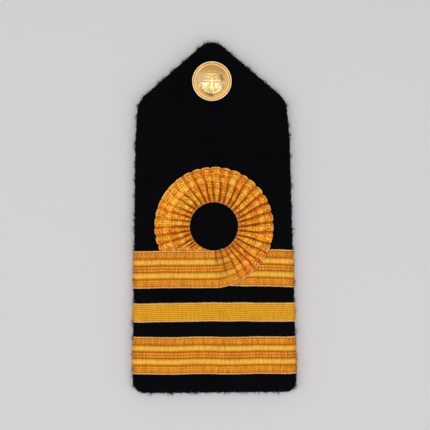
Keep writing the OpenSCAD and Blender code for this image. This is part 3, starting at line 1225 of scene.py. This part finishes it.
@dataclass
class CurlLace(LaceRow):
    """The left part of the upper row, which turns up into the gathered loop and tucks its tail away."""

    hole_radius: float = 9.15
    centre_x: float = 0.3
    gather_loss: float = 0.7
    scallop: float = 0.62
    inner_height: float = 0.92
    tuck_height: float = 0.42
    outer_height: float = 0.5
    loop_turn: float = 260.0
    crease_width: float = 0.19
    crease_sway: float = 0.13
    row_pitch: float = 1.05
    crumple: float = 0.06
    climb: float = 2.2
    cover: float = 0.4
    stations: int = 16
    column_points: int = 8
    held: Held = Held.GATHERED

    def __post_init__(self) -> None:
        """Works out the loop's place on the row."""
        self.row_top = self.low_y + self.width
        self.centre_y = self.row_top + self.hole_radius
        self.outer_radius = self.hole_radius + self.width
        self.layer = self.thickness + CLEARANCE
        self.base_z = self.form.top_z + CLEARANCE
        self.count = GATHERS[-1].number

    def over_tail(self, x: Array, y: Array) -> Array:
        """How far the straight part is lifted by the tail below it, from 0 to 1."""
        away = np.hypot(x - self.centre_x, y - self.centre_y)
        return 1 - ease(self.outer_radius + self.cover, self.outer_radius + self.cover + self.climb, away)

    def over_row(self, y: Array) -> Array:
        """1 on the row itself, falling to 0 just above it."""
        return 1 - ease(self.row_top + self.cover, self.row_top + self.cover + self.climb, y)

    def straight(self, start: Array, share: Array, height: Array) -> tuple[Array, Array]:
        """The flat rings from the left edge to the foot of the loop, and their distances along."""
        steps = 90
        x = mix(start[:, 0], self.centre_x, (np.arange(1, steps + 1) / steps)[:, None])
        y = np.broadcast_to(self.low_y + self.width * share, x.shape)
        z = self.base_z + self.layer * self.over_tail(x, y) + height
        run = float(self.centre_x - start[0, 0])
        return np.stack([x, y, z], axis=-1), run * np.arange(1, steps + 1) / steps

    def places(self) -> tuple[Array, Array, Array]:
        """The loop's stations, close together at the creases.

        Returns:
            The number along the loop, the pleat and the share of the pleat at each station.
        """
        even = np.arange(self.stations) / self.stations
        t = mix(even, (1 - np.cos(math.pi * even)) / 2, 0.6)
        number = np.append((np.arange(self.count)[:, None] + t).ravel(), self.count)
        pleat = np.minimum(np.floor(number + 1e-9).astype(int), self.count - 1)
        return number, pleat, (number - pleat)[:, None]

    def gathers(self, number: Array, column: str) -> Array:
        """One column of the table of gathers, blended along the loop."""
        table = [getattr(row, column) for row in GATHERS]
        return np.interp(number, [row.number for row in GATHERS], table)[:, None]

    def pleats(self) -> Pleats:
        """Plans the stations, and how each crease and pleat differs as hand work does."""
        random = np.random.default_rng(8)
        number, pleat, t = self.places()
        creases = np.arange(self.count + 1)
        tucked = (1 - ease(4, 9, number))[:, None]
        jitter = np.concatenate([[0], random.normal(0, 0.06, self.count - 1), [0]])

        def by_crease(values: Array) -> Array:
            """Each crease's value, blended over the stations."""
            return np.interp(number, creases, values)[:, None]

        def by_pleat(values: Array) -> Array:
            """Each pleat's own value."""
            return values[pleat][:, None]

        return Pleats(
            number=number[:, None],
            t=t,
            crest=1 - np.abs(2 * t**0.86 - 1) ** mix(2.8, 7.0, tucked),
            gathered=ease(0, 4, number)[:, None],
            tucked=tucked,
            angle=self.gathers(number + np.interp(number, creases, jitter), "angle"),
            lean=self.gathers(number, "lean"),
            reach=self.gathers(number, "reach"),
            scallop=self.gathers(number, "scallop"),
            swing=by_crease(random.normal(0, 1, self.count + 1)),
            turn=by_crease(random.uniform(0, 2 * math.pi, self.count + 1)),
            deep=by_crease(random.uniform(0.65, 1.25, self.count + 1)),
            puff=by_pleat(np.clip(random.normal(1, 0.14, self.count), 0.7, 1.25)),
            slip=by_pleat(random.normal(0, 0.016, self.count)),
            step=by_pleat(random.uniform(0, 1, self.count)),
            tone=by_pleat(np.clip(random.normal(0, 0.5, self.count), -1, 1)),
        )

    def plan(self, p: Pleats, share: Array) -> tuple[Array, Array, Array]:
        """The loop seen from above: the radius, x and y of each point."""
        outer = self.outer_radius - self.gather_loss * p.gathered - self.scallop * p.scallop * (1 - p.crest)
        inner = self.hole_radius + 0.2 * (1 - p.crest) * p.gathered - 0.05
        radius = mix(outer, inner, share) + Wobble(31, 0.9, 0.05)(p.number) * (1 - share)
        sway = self.crease_sway * p.swing * np.sin(2 * math.pi * 1.2 * share + p.turn) * p.gathered
        angle = np.radians(p.angle + p.lean * np.sin(math.pi / 2 * (1 - share))) + sway / radius
        return radius, self.centre_x + radius * np.cos(angle), self.centre_y + radius * np.sin(angle)

    def stands(self, p: Pleats, share: Array) -> Array:
        """How high the pleats stand at each point."""
        inward = ease(0.0, 1.0, (share - (0.9 - p.reach)) / (0.1 + p.reach))
        inner_height = mix(self.inner_height, self.tuck_height, p.tucked) * mix(0.4, 1, p.gathered) * p.puff
        tall = mix(self.outer_height * p.scallop, inner_height, inward)
        tall = tall + self.crumple * Wobble(33, 0.5, 1.0)(p.number + 3 * share) * p.gathered
        return tall * p.crest * (1 - 0.45 * ease(0.93, 1.0, share) * p.gathered)

    def folds(self, p: Pleats, share: Array, radius: Array, relief: Array) -> Array:
        """How far each point lies in a crease, or in a groove of the weave low on a pleat, from 0 to 1; the
        material paints shade there.
        """
        pitch = radius * np.radians(self.loop_turn / self.count)
        width = self.crease_width * mix(1, 1.3, p.tucked)
        strength = ease(-0.14, 0.2, share - (1 - p.reach)) * mix(1.05, 1.5, p.tucked) + 0.25 * p.scallop
        crease = bell(np.minimum(p.t, 1 - p.t) * pitch, width) * np.clip(strength * p.deep, 0, 1)
        low = ease(0.3, 0.0, (relief - WEAVE_FLOOR) / (1 - WEAVE_FLOOR))
        return np.maximum(crease, low * 0.5 * (1 - p.crest) ** 0.7 * p.gathered)

    def loop(self, share: Array, height: Array, face: Array, start: float) -> Ribbon:
        """The gathered loop.

        Args:
            share: each point's share of the width.
            height: its height above the underside.
            face: 1 on the face and 0 below.
            start: the distance along the lace where the loop starts.

        Returns:
            The loop as a ribbon.
        """
        p = self.pleats()
        radius, x, y = self.plan(p, share)
        tail = p.number > self.count / 2
        free = np.where(tail, 1 - self.over_row(y), 1.0)
        lifted = np.where(tail, 0.0, self.over_row(y))
        window = ease(0, 0.08, share) * ease(0, 0.08, 1 - share)
        moved = share + (p.slip + mix(0.02, 0.05, p.tucked) * (p.t - 0.5)) * window * p.gathered
        relief = lace_relief(self.bands, np.clip(moved, 0, 1))
        woven = np.where(face > 0, relief * self.thickness, height)
        rows = share * self.width / self.row_pitch + p.step + Wobble(32, 2.2, 0.2)(p.number + 2 * share)
        crumple = self.crumple * np.abs(np.sin(math.pi * rows)) * p.gathered
        raised = (self.stands(p, share) + crumple) * free * face
        z = self.base_z + self.layer * lifted + raised + woven
        crease_shade = self.folds(p, share, radius, relief) * free * face
        # Each pleat's random tone, with painted light: lighter on its crest, painted shade on one flank, and
        # darker where tucked.
        tone = (p.tone + 0.9 * (p.crest - 0.75) - 0.5 * (p.t > 0.7) - 0.6 * p.tucked) * p.gathered
        along = start + np.radians(p.angle + 90) * self.outer_radius
        weave = np.stack(np.broadcast_arrays(along, moved, crease_shade), axis=-1)
        pleat = np.stack(np.broadcast_arrays(p.gathered, tone, rows), axis=-1)
        return Ribbon(np.stack([x, y, z], axis=-1), weave, pleat)

    def build(self, material: bpy.types.Material) -> bpy.types.Object:
        """Makes the ribbon from its turned-in left end to its hidden tail."""
        share, height, face = self.section(under_count=7)
        left, left_along = self.edge_rings(Side.LEFT, share, height)
        flat, flat_along = self.straight(left[-1], share, height)
        rings = np.concatenate([left, flat])
        along = np.concatenate([left_along, left_along[-1] + flat_along])
        damp = ease(self.centre_x - 1, self.centre_x - 12, rings[:, :, 0])[:, :, None]
        plain = Ribbon.plain(mix(rings, self.uneven(rings, along, share, face), damp), along, share)
        loop = self.loop(share, height, face, float(along[-1]))
        return self.finish(material, Ribbon(*(np.concatenate(pair) for pair in zip(plain, loop))))


# Button


class Spot(NamedTuple):
    """A soft spot on the button: its middle, its size, its strength and how far it is squashed."""

    x: float
    y: float
    size: float
    strength: float
    squash: float = 1.0

    def at(self, x: Array, y: Array) -> Array:
        """The spot's strength at each place."""
        return self.strength * np.exp(-((x - self.x) ** 2 + self.squash * (y - self.y) ** 2) / self.size**2)


TARNISH = (
    Spot(3.5, 1.5, 0.75, 1.0),
    Spot(3.95, 0.6, 0.7, 0.95),
    Spot(-0.8, -5.1, 0.75, 1.0),
    Spot(-2.0, -4.8, 0.7, 0.7),
    Spot(0.2, -5.3, 0.5, 0.6),
    Spot(4.6, -2.2, 0.5, 0.4),
    Spot(-3.4, -3.9, 0.6, 0.4),
)
# Two painted highlights on the dome, at the left and lower right.
PAINTED_HIGHLIGHTS = (Spot(-3.0, -0.4, 2.1, 0.85, 0.8), Spot(3.0, -1.7, 1.5, 0.85, 0.8))
ROPE_PATH = ((0.5, 1.5), (1.5, 1.3), (2.0, 0.75), (1.5, -0.6), (0.3, -1.2), (-1.1, -1.6),
             (-1.6, -2.4), (-0.8, -3.1), (0.5, -3.4), (1.6, -3.4), (2.3, -3.0))


@dataclass
class AnchorButton:
    """A stamped gilt button: a rolled rim, a web, and a dome with a crowned anchor in relief."""

    centre_y: float
    base_z: float
    radius: float = 7.5
    rim_width: float = 1.15
    rim_rise: float = 0.4
    dome_height: float = 2.4
    wall: float = 0.45
    back: float = 0.7
    relief: float = 0.42
    rope_lay: float = 0.42
    around: int = 288

    def __post_init__(self) -> None:
        """Works out the levels of the web and the dome."""
        self.dome_radius = self.radius - self.rim_width
        self.web_z = self.back + CLEARANCE + self.wall
        self.rim_z = self.web_z + self.rim_rise
        self.sphere = (self.dome_radius**2 + self.dome_height**2) / (2 * self.dome_height)

    def dome(self, r: Array, drop: float = 0.0) -> Array:
        """The dome's height at each radius, or that of a sphere drop inside it."""
        radius = self.sphere - drop
        return self.web_z + self.dome_height - self.sphere + np.sqrt(np.maximum(radius**2 - r**2, 0))

    def profile(self) -> tuple[Array, Array, int]:
        """The section from the middle of the face, over the rim and back under the dome.

        Returns:
            Radii, heights and the number of points on the dome's face.
        """
        face_r = np.linspace(0, self.dome_radius - 0.3, 92)[1:]
        face = list(zip(face_r, self.dome(face_r)))
        bead, belt = 0.26 * self.rim_width, 0.36
        bead_r, bead_z = self.radius - bead, self.rim_z - bead
        belt_r = bead_r - bead - belt
        valley = [(belt_r - belt - 0.1, self.web_z + 0.12), (belt_r - belt, self.web_z + 0.05)]
        valley += [(belt_r + belt * math.cos(a), self.web_z + 0.08 + 0.2 * math.sin(a))
                   for a in np.radians(np.linspace(165, 15, 11))]
        valley += [(belt_r + belt, self.web_z + 0.06)]
        turn = np.radians(np.linspace(160, -20, 21))
        roll = [(bead_r + bead * math.cos(a), bead_z + bead * math.sin(a)) for a in turn]
        skirt_r, web_under = self.radius - 0.6, self.web_z - self.wall
        skirt = [(self.radius, 0.5), (self.radius - 0.02, 0.12), (self.radius - 0.1, 0.02),
                 (self.radius - 0.3, 0.0), (self.radius - 0.55, 0.03), (skirt_r, 0.12), (skirt_r, web_under)]
        inner_r = np.linspace(self.dome_radius - self.wall, 0, 12)[:-1]
        inner = [(self.dome_radius - 0.2, web_under), *zip(inner_r, self.dome(inner_r, self.wall))]
        top, bottom = ((0.0, float(self.dome(np.array(0.0), drop))) for drop in (0.0, self.wall))
        rows = np.array([top, *face, *valley, *roll, *skirt, *inner, bottom])
        return rows[:, 0], rows[:, 1], len(face) + 1

    def device(self, x: Array, y: Array) -> Array:
        """The raised anchor, rope and crown, as a height from 0 to 1.

        Args:
            x: places to the right of the button's middle, in mm.
            y: places towards the tip.

        Returns:
            The height at each place.
        """

        def line(x0: float, y0: float, x1: float, y1: float) -> tuple[Array, Array]:
            """How far along a line each place lies, from 0 to 1, and how far from it."""
            dx, dy = x1 - x0, y1 - y0
            t = np.clip(((x - x0) * dx + (y - y0) * dy) / (dx * dx + dy * dy), 0, 1)
            return t, np.hypot(x - x0 - t * dx, y - y0 - t * dy)

        def bar(x0: float, y0: float, x1: float, y1: float, r0: float, r1: float) -> Array:
            """A round-ended bar that tapers from r0 to r1."""
            t, away = line(x0, y0, x1, y1)
            return away / mix(r0, r1, t)

        def dot(x0: float, y0: float, r: float) -> Array:
            """A round boss."""
            return np.hypot(x - x0, y - y0) / r

        def hoop(x0: float, y0: float, r: float, w: float, low: float = -400, high: float = 400) -> Array:
            """An arc of a ring, between two angles in degrees."""
            angle = np.degrees(np.arctan2(y - y0, x - x0))
            gap = np.abs(np.hypot(x - x0, y - y0) - r) / w
            return np.where((angle > low) & (angle < high), gap, 9.0)

        def rope(points: Sequence[tuple[float, float]], r: float) -> Array:
            """A laid rope through the points, with its twist."""
            found, gone = [], 0.0
            for start, end in zip(points, points[1:]):
                t, away = line(*start, *end)
                long = math.dist(start, end)
                twist = np.abs(np.sin(math.pi * (gone + t * long) / self.rope_lay))
                found.append(away / r * (1 + 0.22 * twist))
                gone += long
            return np.min(found, axis=0)

        def rounded(gap: Array, top: float) -> Array:
            """The height of a rounded form from its relative distance."""
            return top * np.clip(1 - gap**2, 0, 1) ** 0.7

        shank, foot = bar(0, 1.0, 0, -4.7, 0.75, 1.05), dot(0, -4.8, 0.95)
        arms, eye = hoop(0, -0.75, 4.1, 0.55, -160, -20), hoop(0, 1.6, 0.6, 0.34)
        crown_rim, crown_post = bar(-1.7, 2.62, 1.7, 2.62, 0.38, 0.38), bar(0, 3.0, 0, 4.3, 0.22, 0.2)
        parts = [(shank, 0.85), (arms, 0.9), (foot, 0.9), (eye, 0.8), (rope(ROPE_PATH, 0.34), 0.75),
                 (crown_rim, 0.6), (crown_post, 0.55), (dot(0, 4.6, 0.4), 0.8)]
        for side in (-1, 1):
            stock, knob = bar(side * 2.9, 0.25, 0, 0.0, 0.6, 0.66), dot(side * 3.05, 0.26, 0.7)
            fluke = bar(side * 3.95, -1.6, side * 3.1, -2.9, 0.25, 0.85)
            barb = bar(side * 3.1, -2.9, side * 4.2, -3.2, 0.8, 0.25)
            arch, pearl = hoop(side * 0.78, 3.4, 0.66, 0.24, 5, 175), dot(side * 0.78, 4.15, 0.3)
            point, tip = bar(side * 1.6, 2.9, side * 2.0, 3.6, 0.24, 0.2), dot(side * 2.0, 3.75, 0.36)
            parts += [(stock, 1.0), (knob, 1.0), (fluke, 1.0), (barb, 0.85), (arch, 0.55), (pearl, 0.7),
                      (point, 0.5), (tip, 0.9)]
        return np.max([rounded(gap, top) for gap, top in parts], axis=0)

    def shell(self) -> bpy.types.Object:
        """Builds the stamped shell on a round grid."""
        radii, heights, on_face = self.profile()
        turn = 2 * math.pi * np.arange(self.around) / self.around
        r, z = radii[1:-1, None], heights[1:-1, None]
        x, y = r * np.cos(turn), r * np.sin(turn)
        z = np.broadcast_to(z, x.shape).copy()
        edge = 1 - ease(self.dome_radius - 0.5, self.dome_radius - 0.15, r)
        raised = self.device(x, y) * edge * (np.arange(len(r)) < on_face - 1)[:, None]
        middle = float(self.device(np.zeros(1), np.zeros(1))[0])
        z += raised * self.relief
        count, rings = self.around, len(r)
        grid = np.stack([x, y + self.centre_y, z + self.base_z], axis=-1).reshape(-1, 3)
        first = [[0.0, self.centre_y, self.base_z + heights[0] + middle * self.relief]]
        last = [[0.0, self.centre_y, self.base_z + heights[-1]]]
        faces = ring_faces(rings, count)[:-2]
        shell = [tuple(i + 1 for i in reversed(face)) for face in faces]
        ahead = [(k + 1) % count for k in range(count)]
        shell += [(0, k + 1, ahead[k] + 1) for k in range(count)]
        end, base = rings * count + 1, (rings - 1) * count + 1
        shell += [(end, base + ahead[k], base + k) for k in range(count)]
        piece = add_mesh("anchor_shell", np.concatenate([first, grid, last]), shell)
        values = self.wear(r, x, y, raised, edge).reshape(-1, 3)
        keep_values(piece, "device", np.concatenate([[[0, 0, 0]], values, [[0, 0, 0]]]))
        return piece

    def wear(self, r: Array, x: Array, y: Array, raised: Array, edge: Array) -> Array:
        """How hollow (with painted shade over the upper part), how stained and how pale (the rim's outer edge
        and two painted highlights) the gilt is, each from 0 to 1.

        Args:
            r: each ring's radius.
            x: each point's place to the right of the middle.
            y: each point's place towards the tip.
            raised: the height of the device.
            edge: 1 on the dome, falling to 0 at its edge.

        Returns:
            The three values of each point.
        """
        beside = 0.55 * (1 - np.clip(raised * 1.6, 0, 1)) * ease(0.02, 0.9, self.near_relief(x, y)) * edge
        # Painted shade over the upper part of the dome and web.
        shaded_top = 0.6 * ease(1.6, 4.8, y + 0.12 * x) * ease(self.radius - 0.7, self.radius - 1, r)
        # Paler at the rim's outer edge.
        pale_outer_rim = ease(self.radius - 0.42, self.radius - 0.34, r) + 0 * x
        foot = 0.8 * bell(r - self.dome_radius + 0.16, 0.14)
        valley = 0.7 * ease(self.dome_radius, self.dome_radius + 0.2, r) * (1 - pale_outer_rim)
        hollow_and_shade = np.max([beside, shaded_top, foot + 0 * x, valley], axis=0)
        outline = 0.3 * bell(raised - 0.12, 0.1) * (raised > 0.01)
        lined = 0.7 * bell(r - self.radius + 0.56, 0.12) + 0 * x
        stain = np.max([outline, lined] + [spot.at(x, y) for spot in TARNISH], axis=0)
        # The pale rim edge, and the two painted highlights on the dome.
        worn = np.max([pale_outer_rim] + [spot.at(x, y) * edge for spot in PAINTED_HIGHLIGHTS], axis=0)
        return np.stack([hollow_and_shade, stain, worn], axis=-1)

    def near_relief(self, x: Array, y: Array) -> Array:
        """Where the ground lies close beside something raised, from 0 to 1."""
        steps = ((0.28, 0), (-0.28, 0), (0, 0.28), (0, -0.28))
        return np.max([self.device(x + dx, y + dy) for dx, dy in steps], axis=0)

    def build(self, gilt: bpy.types.Material) -> None:
        """Makes and dresses the shell, and dresses the back disc and post."""
        place_piece(self.shell(), gilt, Slot.GILT, "button_shell")
        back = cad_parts["button_back"]
        back.data.materials.clear()
        back.data.materials.append(gilt)


# Tongue strap and stitches


@dataclass
class TongueStrap:
    """The leather tongue under the board, with its pressed edge lines and its sewn end."""

    low: tuple[float, float, float]
    high: tuple[float, float, float]
    hole_y: float
    hole_radius: float = 1.6
    edge_radius: float = 0.3
    corner: float = 1.2
    seam_inset: float = 2.2
    seam_length: float = 10.0
    stitch_pitch: float = 2.4
    stitch_gap: float = 0.12
    stitch_z: float = 0.2
    thread_radius: float = 0.16

    def outline(self, inset: float, arc_points: int = 48, side_points: int = 58,
                foot_points: int = 8) -> Array:
        """The strap's outline, inset from its edge."""
        half = (self.high[0] - self.low[0]) / 2
        radius, round_y = half - inset, self.high[1] - half
        turn = np.linspace(0, math.pi, arc_points)
        arc = np.column_stack([radius * np.cos(turn), round_y + radius * np.sin(turn)])
        side_y = np.linspace(round_y, self.low[1] + self.corner, side_points + 2)[1:-1]
        side = np.column_stack([np.full(side_points, -radius), side_y])
        foot_turn = np.linspace(math.pi, 1.5 * math.pi, foot_points)
        r = self.corner - inset * 0.8
        foot = np.column_stack([r * (1 + np.cos(foot_turn)) - radius,
                                r * (1 + np.sin(foot_turn)) + self.low[1] + inset])
        return np.concatenate([arc, side, foot, foot[::-1] * [-1, 1], side[::-1] * [-1, 1]])

    def strap(self) -> bpy.types.Object:
        """Builds the strap as rings from its hole out over the edge and back to the hole."""
        edge = self.outline(0.0)
        count = len(edge)
        around = np.arctan2(edge[:, 1] - self.hole_y, edge[:, 0])
        hole = np.column_stack([np.cos(around), np.sin(around)])
        centre = np.array([0.0, self.hole_y])

        def ring(share: float, z: float, inset: float = 0.0) -> Array:
            """One ring, from the hole (0) to the edge (1)."""
            rim = centre + hole * self.hole_radius
            return np.column_stack([mix(rim, self.outline(inset), share), np.full(count, z)])

        e = self.edge_radius
        shares = np.linspace(0, 1, 26)[:-1] ** 1.2
        pressed_line = ((1.5, 0.0), (1.32, 0.1), (1.15, 0.12), (0.98, 0.1), (0.8, 0.0))
        rings = [ring(share, self.low[2], e) for share in shares]
        rings += [ring(1.0, self.low[2] + drop, inset + e * 0.2) for inset, drop in pressed_line]
        for a in np.linspace(-math.pi / 2, math.pi / 2, 13):
            z = self.low[2] + e + e * math.sin(a) if a <= 0 else self.high[2] - e + e * math.sin(a)
            rings.append(ring(1.0, z, e * (1 - math.cos(a))))
        rings += [ring(share, self.high[2], e) for share in shares[::-1]]
        faces = ring_faces(len(rings), count)[:-2]
        last = (len(rings) - 1) * count
        faces += [(k, last + k, last + (k + 1) % count, (k + 1) % count) for k in range(count)]
        return add_mesh("leather_tongue", np.concatenate(rings), faces)

    def stitches(self) -> bpy.types.Object:
        """Builds the box of stitches that holds the strap's lower end."""
        x, low = self.high[0] - self.seam_inset, self.low[1] + self.seam_inset
        high = low + self.seam_length
        corners = np.array([(-x, low), (x, low), (x, high), (-x, high), (-x, low)])
        starts, ends = [], []
        for corner, following in zip(corners, corners[1:]):
            steps = max(1, round(math.dist(corner, following) / self.stitch_pitch))
            for k in range(steps):
                for place, bars in ((k + self.stitch_gap, starts), (k + 1 - self.stitch_gap, ends)):
                    bars.append([*mix(corner, following, place / steps), self.stitch_z])
        lift = np.array([0, 0, -0.03])
        points, faces = thread_bars(np.array(starts), np.array(ends), lift, self.thread_radius)
        points[:, 2] = np.maximum(points[:, 2], 0.005)
        return add_mesh("tongue_stitches", points, faces)

    def build(self, leather: bpy.types.Material, thread: bpy.types.Material) -> None:
        """Makes and dresses the strap and its stitches."""
        strap = self.strap()
        place_piece(strap, leather, Slot.LEATHER, "tongue_strap")
        width, length = self.high[0] - self.low[0], self.high[1] - self.low[1]
        corners = (1 - math.pi / 4) * width**2 / 2
        width * MM
        length * MM
        (width * length - corners) * MM**2
        place_piece(self.stitches(), thread, Slot.CLOTH)


@dataclass
class Needlework:
    """The small stitches that catch the edges of the lace to the cloth."""

    form: BoardForm
    curl: CurlLace
    rows: tuple[LaceRow, ...]
    pitch: float = 2.9
    radius: float = 0.09
    reach: float = 0.42
    bite: float = 0.22
    bite_depth: float = 0.02
    clear_of_curl: float = 19.0

    def along_rows(self) -> tuple[list[Array], list[Array]]:
        """Stitches over both edges of each straight row, on the flat of the board."""
        random = np.random.default_rng(5)
        starts, ends = [], []
        for row in self.rows:
            half = float(row.form.half_width(np.array(row.low_y))) - self.form.edge_roll
            for edge_y, way in ((row.low_y, -1), (row.low_y + row.width, 1)):
                from_x = self.curl.centre_x + self.clear_of_curl if isinstance(row, SideLace) else -half
                for x in np.arange(from_x, half, self.pitch) + random.uniform(-0.3, 0.3):
                    slant = random.uniform(0.1, 0.35)
                    y = edge_y + float(np.interp(x, *zip(*row.drift)))
                    starts.append(np.array([x, y - way * self.reach, self.form.top_z + 0.6]))
                    ends.append(np.array([x + slant, y + way * self.bite, self.form.top_z - self.bite_depth]))
        return starts, ends

    def around_curl(self) -> tuple[list[Array], list[Array]]:
        """Stitches over the outer edge of the loop, one in each gather."""
        curl = self.curl
        starts, ends = [], []
        numbers = np.arange(8.0, 30.0)
        edge = curl.outer_radius - curl.gather_loss - curl.scallop
        centre = np.array([curl.centre_x, curl.centre_y])
        for a in np.radians(curl.gathers(numbers, "angle") + curl.gathers(numbers, "lean"))[:, 0]:
            out = np.array([math.cos(a), math.sin(a)])
            starts.append(np.append(centre + out * (edge - 0.3), self.form.top_z + 0.55))
            ends.append(np.append(centre + out * (edge + 0.25), self.form.top_z - self.bite_depth))
        return starts, ends

    def build(self, thread: bpy.types.Material) -> None:
        """Makes and dresses all the stitches as one piece."""
        row_starts, row_ends = self.along_rows()
        curl_starts, curl_ends = self.around_curl()
        starts, ends = np.array(row_starts + curl_starts), np.array(row_ends + curl_ends)
        points, faces = thread_bars(starts, ends, np.array([0, 0, 0.16]), self.radius)
        place_piece(add_mesh("lace_stitches", points, faces), thread, Slot.LACE)


# The studio


@dataclass(frozen=True)
class SoftBox:
    """A square soft light aimed at the board."""

    name: str
    place: tuple[float, float, float]
    size: float
    power: float
    tint: Colour = (1.0, 1.0, 1.0)

    def light(self) -> None:
        """Hangs the light."""
        lamp = bpy.data.lights.new(self.name, "AREA")
        lamp.shape, lamp.size, lamp.energy, lamp.color = "SQUARE", self.size, self.power, self.tint
        holder = bpy.data.objects.new(self.name, lamp)
        holder.location = self.place
        holder.rotation_euler = Vector(self.place).to_track_quat("Z", "Y").to_euler()
        bpy.context.scene.collection.objects.link(holder)


@dataclass(frozen=True)
class Studio:
    """A pale floor, soft light, and a camera straight above with the photograph's slight turn."""

    photo_pixels: int = 430
    pixel: float = 0.381
    board_pixel: tuple[float, float] = (213.1, 217.44)
    roll: float = -0.49
    lens: float = 100.0
    sensor: float = 36.0
    focus_z: float = 4.6
    floor_size: float = 4.0
    floor_tone: Colour = (0.62, 0.606, 0.62)
    boxes: tuple[SoftBox, ...] = (
        SoftBox("box_left", (-0.46, -0.16, 0.53), 0.3, 0.67),
        SoftBox("box_right", (0.39, -0.32, 0.52), 0.3, 0.67),
        SoftBox("box_above", (0.0, 0.0, 0.75), 0.7, 2.9),
    )
    sky: float = 0.47

    def camera(self) -> None:
        """Sets the camera so that the board lies where the photograph has it."""
        lens = bpy.data.cameras.new("overhead_camera")
        lens.lens, lens.sensor_width, lens.sensor_fit = self.lens, self.sensor, "HORIZONTAL"
        view = self.photo_pixels * self.pixel
        distance = view * self.lens / self.sensor
        middle = self.photo_pixels / 2
        holder = bpy.data.objects.new("overhead_camera", lens)
        holder.location = ((middle - self.board_pixel[0]) * self.pixel * MM,
                           (self.board_pixel[1] - middle) * self.pixel * MM,
                           (distance + self.focus_z) * MM)
        holder.rotation_euler = (0.0, 0.0, math.radians(self.roll))
        bpy.context.scene.collection.objects.link(holder)
        bpy.context.scene.camera = holder

    def floor(self) -> None:
        """Lays the plain floor."""
        half = self.floor_size / 2 / MM
        points = np.array([[-half, -half, 0], [half, -half, 0], [half, half, 0], [-half, half, 0]])
        floor = add_mesh("floor", points, [(0, 1, 2, 3)])
        material, sketch, shader = new_material("pale_paper")
        tone = (*self.floor_tone, 1.0)
        sketch.feed(shader, {"Base Color": tone, "Roughness": 0.9, "Specular IOR Level": 0.1})
        floor.data.materials.append(material)

    def build(self) -> None:
        """Sets the camera, the lights, the floor and the picture's tone."""
        self.camera()
        self.floor()
        for box in self.boxes:
            box.light()
        world = bpy.data.worlds.new("soft_room")
        world.use_nodes = True
        background = world.node_tree.nodes["Background"]
        background.inputs["Color"].default_value = (1.0, 1.0, 1.0, 1.0)
        background.inputs["Strength"].default_value = self.sky
        scene = bpy.context.scene
        scene.world = world
        scene.view_settings.view_transform = "Standard"
        scene.view_settings.look = "None"


def box_mm(node: str) -> tuple[Array, Array]:
    """The lowest and highest corner of a node of the model, in millimetres."""
    low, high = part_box(node)
    return np.array(low) / MM, np.array(high) / MM


def main() -> None:
    """Builds and dresses the shoulder board piece by piece."""
    logging.basicConfig(level=logging.INFO, format="%(message)s")
    Studio().build()
    effects = Effects(thread_texture(), soft_patches())
    cloth_low, cloth_high = box_mm("cloth_board")
    form = BoardForm(cloth_high[1] - cloth_low[1], cloth_low[2], cloth_high[2])
    wool = WoolFinish().material(effects)
    gilt = GiltFinish().material(effects)
    leather = LeatherFinish().material(effects)
    ClothBoard(form).build(wool)

    lower, half, side = (box_mm(node) for node in ("lower_lace", "half_lace", "side_lace"))
    wide_width, half_width = lower[1][1] - lower[0][1], half[1][1] - half[0][1]
    wide = LaceFinish("wide_lace", WIDE_BANDS, wide_width).material(effects)
    narrow = LaceFinish("narrow_lace", HALF_BANDS, half_width, satin=srgb(254, 194, 50), sheen=None,
                        groove=srgb(180, 100, 14), streaks=0.2).material(effects)
    lower_row = LaceRow("lower_row", "lower_lace", form, WIDE_BANDS, lower[0][1], wide_width, seed=40,
                        drift=((-30, 0.22), (0, 0.1), (30, 0.0)))
    half_drift = ((-30, 0.0), (-20, 0.15), (0, 0.25), (8, 0.2), (20, 0.0), (30, -0.2))
    half_row = LaceRow("half_row", "half_lace", form, HALF_BANDS, half[0][1], half_width, seed=50,
                       drift=half_drift, column_points=7)
    side_row = SideLace("side_row", "side_lace", form, WIDE_BANDS, side[0][1], wide_width, seed=60,
                        start_x=side[0][0], drift=((8, 0.65), (20, 0.35), (31, 0.0)))
    curl = CurlLace("curl_row", "curl_lace", form, WIDE_BANDS, side[0][1], wide_width, seed=70)
    for row, surface in ((lower_row, wide), (half_row, narrow), (side_row, wide), (curl, wide)):
        row.build(surface)
    gold_thread = ThreadFinish("gold_thread", srgb(226, 160, 60)).material(effects)
    Needlework(form, curl, (lower_row, half_row, side_row)).build(gold_thread)

    back_low, back_high = box_mm("button_back")
    button_y = (back_low[1] + back_high[1]) / 2
    AnchorButton(button_y, form.top_z + CLEARANCE).build(gilt)
    strap_low, strap_high = box_mm("tongue_strap")
    black_thread = ThreadFinish("black_thread", (0.02, 0.018, 0.017)).material(effects)
    TongueStrap(tuple(strap_low), tuple(strap_high), button_y).build(leather, black_thread)


if __name__ == "__main__":
    main()
